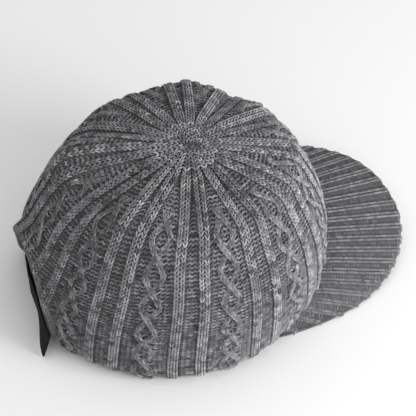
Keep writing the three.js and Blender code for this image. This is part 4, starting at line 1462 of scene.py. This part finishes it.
def opening_roll(name, look):
    azimuth, line = opening_line(400)
    line, length = resampled(line, 150)
    line[:, 2] = np.maximum(line[:, 2], 1.9)
    tangents = unit(np.gradient(line, axis=0))
    plan = np.stack([line[:, 0], line[:, 1], np.zeros(len(line))], -1)
    outward = unit(plan)
    inward = unit(np.cross(tangents, outward))
    outward = np.cross(inward, tangents)
    radius, sides = 1.35, 10
    angles = np.arange(sides) / sides * 2 * math.pi
    ring = np.stack([np.cos(angles), np.sin(angles)], -1) * radius
    points = (
        line[:, None] + outward[:, None] * ring[None, :, :1] + inward[:, None] * ring[None, :, 1:]
    ).reshape(-1, 3)
    faces = []
    for i in range(len(line) - 1):
        for j in range(sides):
            k = (j + 1) % sides
            faces.append((i * sides + j, i * sides + k, (i + 1) * sides + k, (i + 1) * sides + j))
    faces.append(tuple(range(sides))[::-1])
    faces.append(tuple(range((len(line) - 1) * sides, len(line) * sides)))
    piece = mesh_object(name, metres(points), faces)
    uv = piece.data.uv_layers.new(name="knit")
    corners = np.empty(len(piece.data.loops), int)
    piece.data.loops.foreach_get("vertex_index", corners)
    values = np.stack([(corners % sides) / 2.0, (corners // sides) * length / 150 / 1.9], -1)
    uv.data.foreach_set("uv", values.ravel())
    shade_smooth(piece)
    face_outward(piece)
    finish_piece(piece, look)
    return line, tangents, outward, inward, length


def roll_guide(roll, rng):
    """Knit wales wound along the turned edge."""
    guide = Guide()
    line, tangents, outward, inward, length = roll
    count = int(length / 2.0)
    at = np.linspace(0.01, 0.99, count) * (len(line) - 1)
    low = np.floor(at).astype(int)
    part = (at - low)[:, None]

    def pick(rows):
        return rows[low] * (1 - part) + rows[np.minimum(low + 1, len(rows) - 1)] * part

    for angle in (-100, -50, 0, 50, 100, 180):
        a = math.radians(angle)
        out = pick(outward) * math.cos(a) + pick(inward) * math.sin(a)
        side = np.cross(pick(tangents), unit(out))
        point = pick(line) + unit(out) * 1.45
        # painted light: stitches on the turned edge are coloured a touch lighter than the plain yarn
        stitch_tone_and_painted_light = stitch_shades(count, rng, 0.16) * 1.05
        guide.add(point, side, pick(tangents), (1.7 / 3.25, 2.0 / 2.2, 0.8), stitch_tone_and_painted_light)
    return guide


# ---- settings, operators and panel


class KnitCapSettings(bpy.types.PropertyGroup):
    """Sizes and tones that a maker would change."""

    yarn_level: bpy.props.FloatProperty(
        name="Yarn tone", description="Linear grey level of the yarn", default=0.2, min=0.0, max=1.0, subtype="FACTOR"
    )
    melange_contrast: bpy.props.FloatProperty(
        name="Melange contrast", description="How far light and dark fibres differ", default=0.85, min=0.0, max=1.0, subtype="FACTOR"
    )
    yarn_radius: bpy.props.FloatProperty(
        name="Yarn radius", description="Radius of the knitting yarn", default=0.00058, unit="LENGTH", precision=5
    )
    purl_radius: bpy.props.FloatProperty(
        name="Purl yarn radius", description="Radius of the yarn where it lies across", default=0.0005, unit="LENGTH", precision=5
    )
    webbing_level: bpy.props.FloatProperty(
        name="Webbing tone", description="Linear grey level of the strap", default=0.007, min=0.0, max=1.0, subtype="FACTOR"
    )
    slide_level: bpy.props.FloatProperty(
        name="Slide tone", description="Linear grey level of the slide", default=0.03, min=0.0, max=1.0, subtype="FACTOR"
    )
    floor_level: bpy.props.FloatProperty(
        name="Floor tone", description="Linear grey level of the floor", default=0.9, min=0.0, max=1.0, subtype="FACTOR"
    )
    key_power: bpy.props.FloatProperty(
        name="Key light", description="Power of the large soft light", default=21.0, min=0.0, unit="POWER"
    )


class CAP_OT_crown(bpy.types.Operator):
    """Builds the crown's ground, its ribs, cables and purl stitches and the turned edge"""

    bl_idname = "knit_cap.crown"
    bl_label = "Knit the crown"

    def execute(self, context):
        s = settings()
        rng = np.random.default_rng(11)
        yarn = yarn_material("melange_yarn", s.yarn_level, s.melange_contrast)
        # painted shade: the ground under the stitches, its inner face and the turned edge's core are coloured a quarter
        # darker than the yarn, standing for the shadow between stitches
        face = knit_face_material("knit_face", s.yarn_level * 0.75)
        ground = crown_ground("crown_ground")
        finish_piece(ground, face, ["crown"])
        legs = yarn_tree("knit_stitches", LEG_CURVES, 5, 4)
        slim = yarn_tree("cable_stitches", LEG_CURVES, 4, 3)
        bumps = yarn_tree("purl_stitches", PURL_CURVES, 4, 3)
        low, high, cables, near, far = crown_guides(rng)
        sizes = {"Wale Width": 0.00325, "Course Height": 0.0022, "Yarn Radius": s.yarn_radius}
        purl = {"Wale Width": 0.00307, "Course Height": 0.0022, "Yarn Radius": s.purl_radius}
        knit_piece("crown_ribs_lower", low, legs, sizes, yarn, ["crown"], 3)
        knit_piece("crown_ribs_upper", high, legs, sizes, yarn, ["crown"], 4)
        knit_piece("crown_cables", cables, slim, sizes, yarn, ["crown"], 5)
        knit_piece("crown_purl_near", near, bumps, purl, yarn, ["crown"], 6)
        knit_piece("crown_purl_far", far, bumps, purl, yarn, ["crown"], 7)
        roll = opening_roll("opening_roll", face)
        knit_piece("opening_edge", roll_guide(roll, rng), slim, sizes, yarn, ["crown"], 8)
        return {"FINISHED"}


class CAP_OT_peak(bpy.types.Operator):
    """Builds the knit-covered peak and its stitches"""

    bl_idname = "knit_cap.peak"
    bl_label = "Knit the peak"

    def execute(self, context):
        s = settings()
        rng = np.random.default_rng(23)
        yarn = yarn_material("peak_yarn", s.yarn_level, s.melange_contrast)
        # painted shade: the peak's ground under the stitches is coloured a fifth darker than the yarn, standing for the
        # shadow between stitches
        face = knit_face_material("peak_face", s.yarn_level * 0.8)
        ground = peak_ground("peak_ground")
        finish_piece(ground, face, ["peak"])
        slim = yarn_tree("peak_stitches", LEG_CURVES, 4, 3)
        bumps = yarn_tree("peak_purl", PURL_CURVES, 4, 3)
        ribs, flats = peak_guides(rng)
        sizes = {"Wale Width": 0.00325, "Course Height": 0.0022, "Yarn Radius": s.yarn_radius}
        purl = {"Wale Width": 0.00307, "Course Height": 0.0022, "Yarn Radius": s.purl_radius}
        knit_piece("peak_ribs", ribs, slim, sizes, yarn, ["peak"], 9)
        knit_piece("peak_flats", flats, bumps, purl, yarn, ["peak"], 10)
        return {"FINISHED"}


class CAP_OT_strap(bpy.types.Operator):
    """Builds the webbing strap, its anchor loop, the sewing and the slide"""

    bl_idname = "knit_cap.strap"
    bl_label = "Make the strap"

    def execute(self, context):
        s = settings()
        rng = np.random.default_rng(31)
        webbing = webbing_material("webbing", s.webbing_level)
        thread = yarn_material("sewing_thread", s.webbing_level * 2.4, 0.3)
        strap = band_piece("strap_band", strap_course(), webbing, "back_strap")
        anchor = band_piece("anchor_band", anchor_course(), webbing, "strap_anchor")
        guide = Guide()
        thread_rows(guide, strap, strap[4][-1] - 2.2, (0.0, -2.0), rng)
        thread_rows(guide, strap, 15.5, (0.0, 2.0), rng)
        tree = yarn_tree("sewing", THREAD_CURVES, 5, 3)
        sizes = {"Wale Width": 0.0021, "Course Height": 0.0021, "Yarn Radius": 0.00016}
        knit_piece("strap_sewing", guide, tree, sizes, thread, ["back_strap"], 12)
        slide_piece("slide_plate", plastic_material("slide_plastic", s.slide_level))
        return {"FINISHED"}


class CAP_OT_stage(bpy.types.Operator):
    """Sets the floor, the soft studio light and the camera"""

    bl_idname = "knit_cap.stage"
    bl_label = "Set the stage"

    def execute(self, context):
        s = settings()
        floor = mesh_object("floor", [(-6, -6, 0), (6, -6, 0), (6, 6, 0), (-6, 6, 0)], [(0, 1, 2, 3)])
        look, graph = material("floor_paint")
        coords = graph.node("ShaderNodeTexCoord").outputs["Object"]
        soft = graph.node("ShaderNodeTexNoise", {"Vector": coords, "Scale": 3.0}).outputs["Fac"]
        level = s.floor_level
        colour = graph.ramp(soft, [(0.0, (level * 0.995,) * 3), (1.0, (level,) * 3)])
        shader = graph.node("ShaderNodeBsdfPrincipled", {"Base Color": colour, "Roughness": 0.9, "Specular IOR Level": 0.1})
        output = graph.node("ShaderNodeOutputMaterial")
        graph.link(shader.outputs[0], output.inputs["Surface"])
        floor.data.materials.append(look)
        world = bpy.data.worlds.new("studio")
        world.use_nodes = True
        sky = world.node_tree.nodes["Background"]
        sky.inputs["Color"].default_value = (1.0, 1.0, 1.0, 1.0)
        sky.inputs["Strength"].default_value = 0.64
        bpy.context.scene.world = world
        bpy.context.scene.view_settings.view_transform = "Standard"
        for name, azimuth, elevation, distance, size, power in (
            ("key_light", 312.0, 15.0, 1.3, 0.7, s.key_power),
            ("fill_light", 268.0, 12.0, 1.5, 1.2, s.key_power * 0.3),
            ("top_light", 60.0, 75.0, 1.5, 1.2, s.key_power * 0.1),
        ):
            lamp = bpy.data.lights.new(name, "AREA")
            lamp.energy = power
            lamp.size = size
            lamp.color = (1.0, 0.99, 0.985)
            made = bpy.data.objects.new(name, lamp)
            a, e = math.radians(azimuth), math.radians(elevation)
            place = Vector((math.sin(a) * math.cos(e), -math.cos(a) * math.cos(e), math.sin(e))) * distance
            made.location = place
            made.rotation_euler = (Vector((0, 0, 0.04)) - place).to_track_quat("-Z", "Y").to_euler()
            bpy.context.scene.collection.objects.link(made)
        self.camera()
        return {"FINISHED"}

    def camera(self):
        azimuth, elevation = math.radians(CAMERA["azimuth"]), math.radians(CAMERA["elevation"])
        back = np.array(
            [
                math.sin(azimuth) * math.cos(elevation),
                -math.cos(azimuth) * math.cos(elevation),
                math.sin(elevation),
            ]
        )
        right = np.array([math.cos(azimuth), math.sin(azimuth), 0.0])
        up = np.cross(back, right)
        target = np.array([0.0, -25.0, 55.0]) + right * CAMERA["right"] + up * CAMERA["up"]
        data = bpy.data.cameras.new("view")
        data.sensor_width = 36.0
        data.sensor_fit = "HORIZONTAL"
        data.lens = CAMERA["scale"] * CAMERA["distance"] / 416 * 36
        data.clip_start = 0.01
        camera = bpy.data.objects.new("view", data)
        place = metres(target + back * CAMERA["distance"])
        camera.location = place
        camera.rotation_euler = Vector(-back).to_track_quat("-Z", "Y").to_euler()
        bpy.context.scene.collection.objects.link(camera)
        bpy.context.scene.camera = camera


# View over the surface in degrees, distance and aim in millimetres, pixels a millimetre.
CAMERA = {
    "azimuth": 249.5,
    "elevation": 46.4,
    "distance": 850.0,
    "scale": 1.575,
    "right": -2.5,
    "up": -9.0,
}


class CAP_PT_panel(bpy.types.Panel):
    """Settings and steps of the knit cap"""

    bl_idname = "CAP_PT_panel"
    bl_label = "Knit Cap"
    bl_space_type = "VIEW_3D"
    bl_region_type = "UI"
    bl_category = "Knit Cap"

    def draw(self, context):
        layout = self.layout
        s = context.scene.knit_cap
        for name in KnitCapSettings.__annotations__:
            layout.prop(s, name)
        for step in STEPS:
            layout.operator(step.bl_idname)


STEPS = (CAP_OT_crown, CAP_OT_peak, CAP_OT_strap, CAP_OT_stage)
CLASSES = (KnitCapSettings, *STEPS, CAP_PT_panel)


def register():
    for item in CLASSES:
        bpy.utils.register_class(item)
    bpy.types.Scene.knit_cap = bpy.props.PointerProperty(type=KnitCapSettings)


def unregister():
    del bpy.types.Scene.knit_cap
    for item in reversed(CLASSES):
        bpy.utils.unregister_class(item)


def main():
    register()
    bpy.ops.knit_cap.crown()
    bpy.ops.knit_cap.peak()
    bpy.ops.knit_cap.strap()
    bpy.ops.knit_cap.stage()
    bpy.context.view_layer.update()


if __name__ == "__main__":
    main()
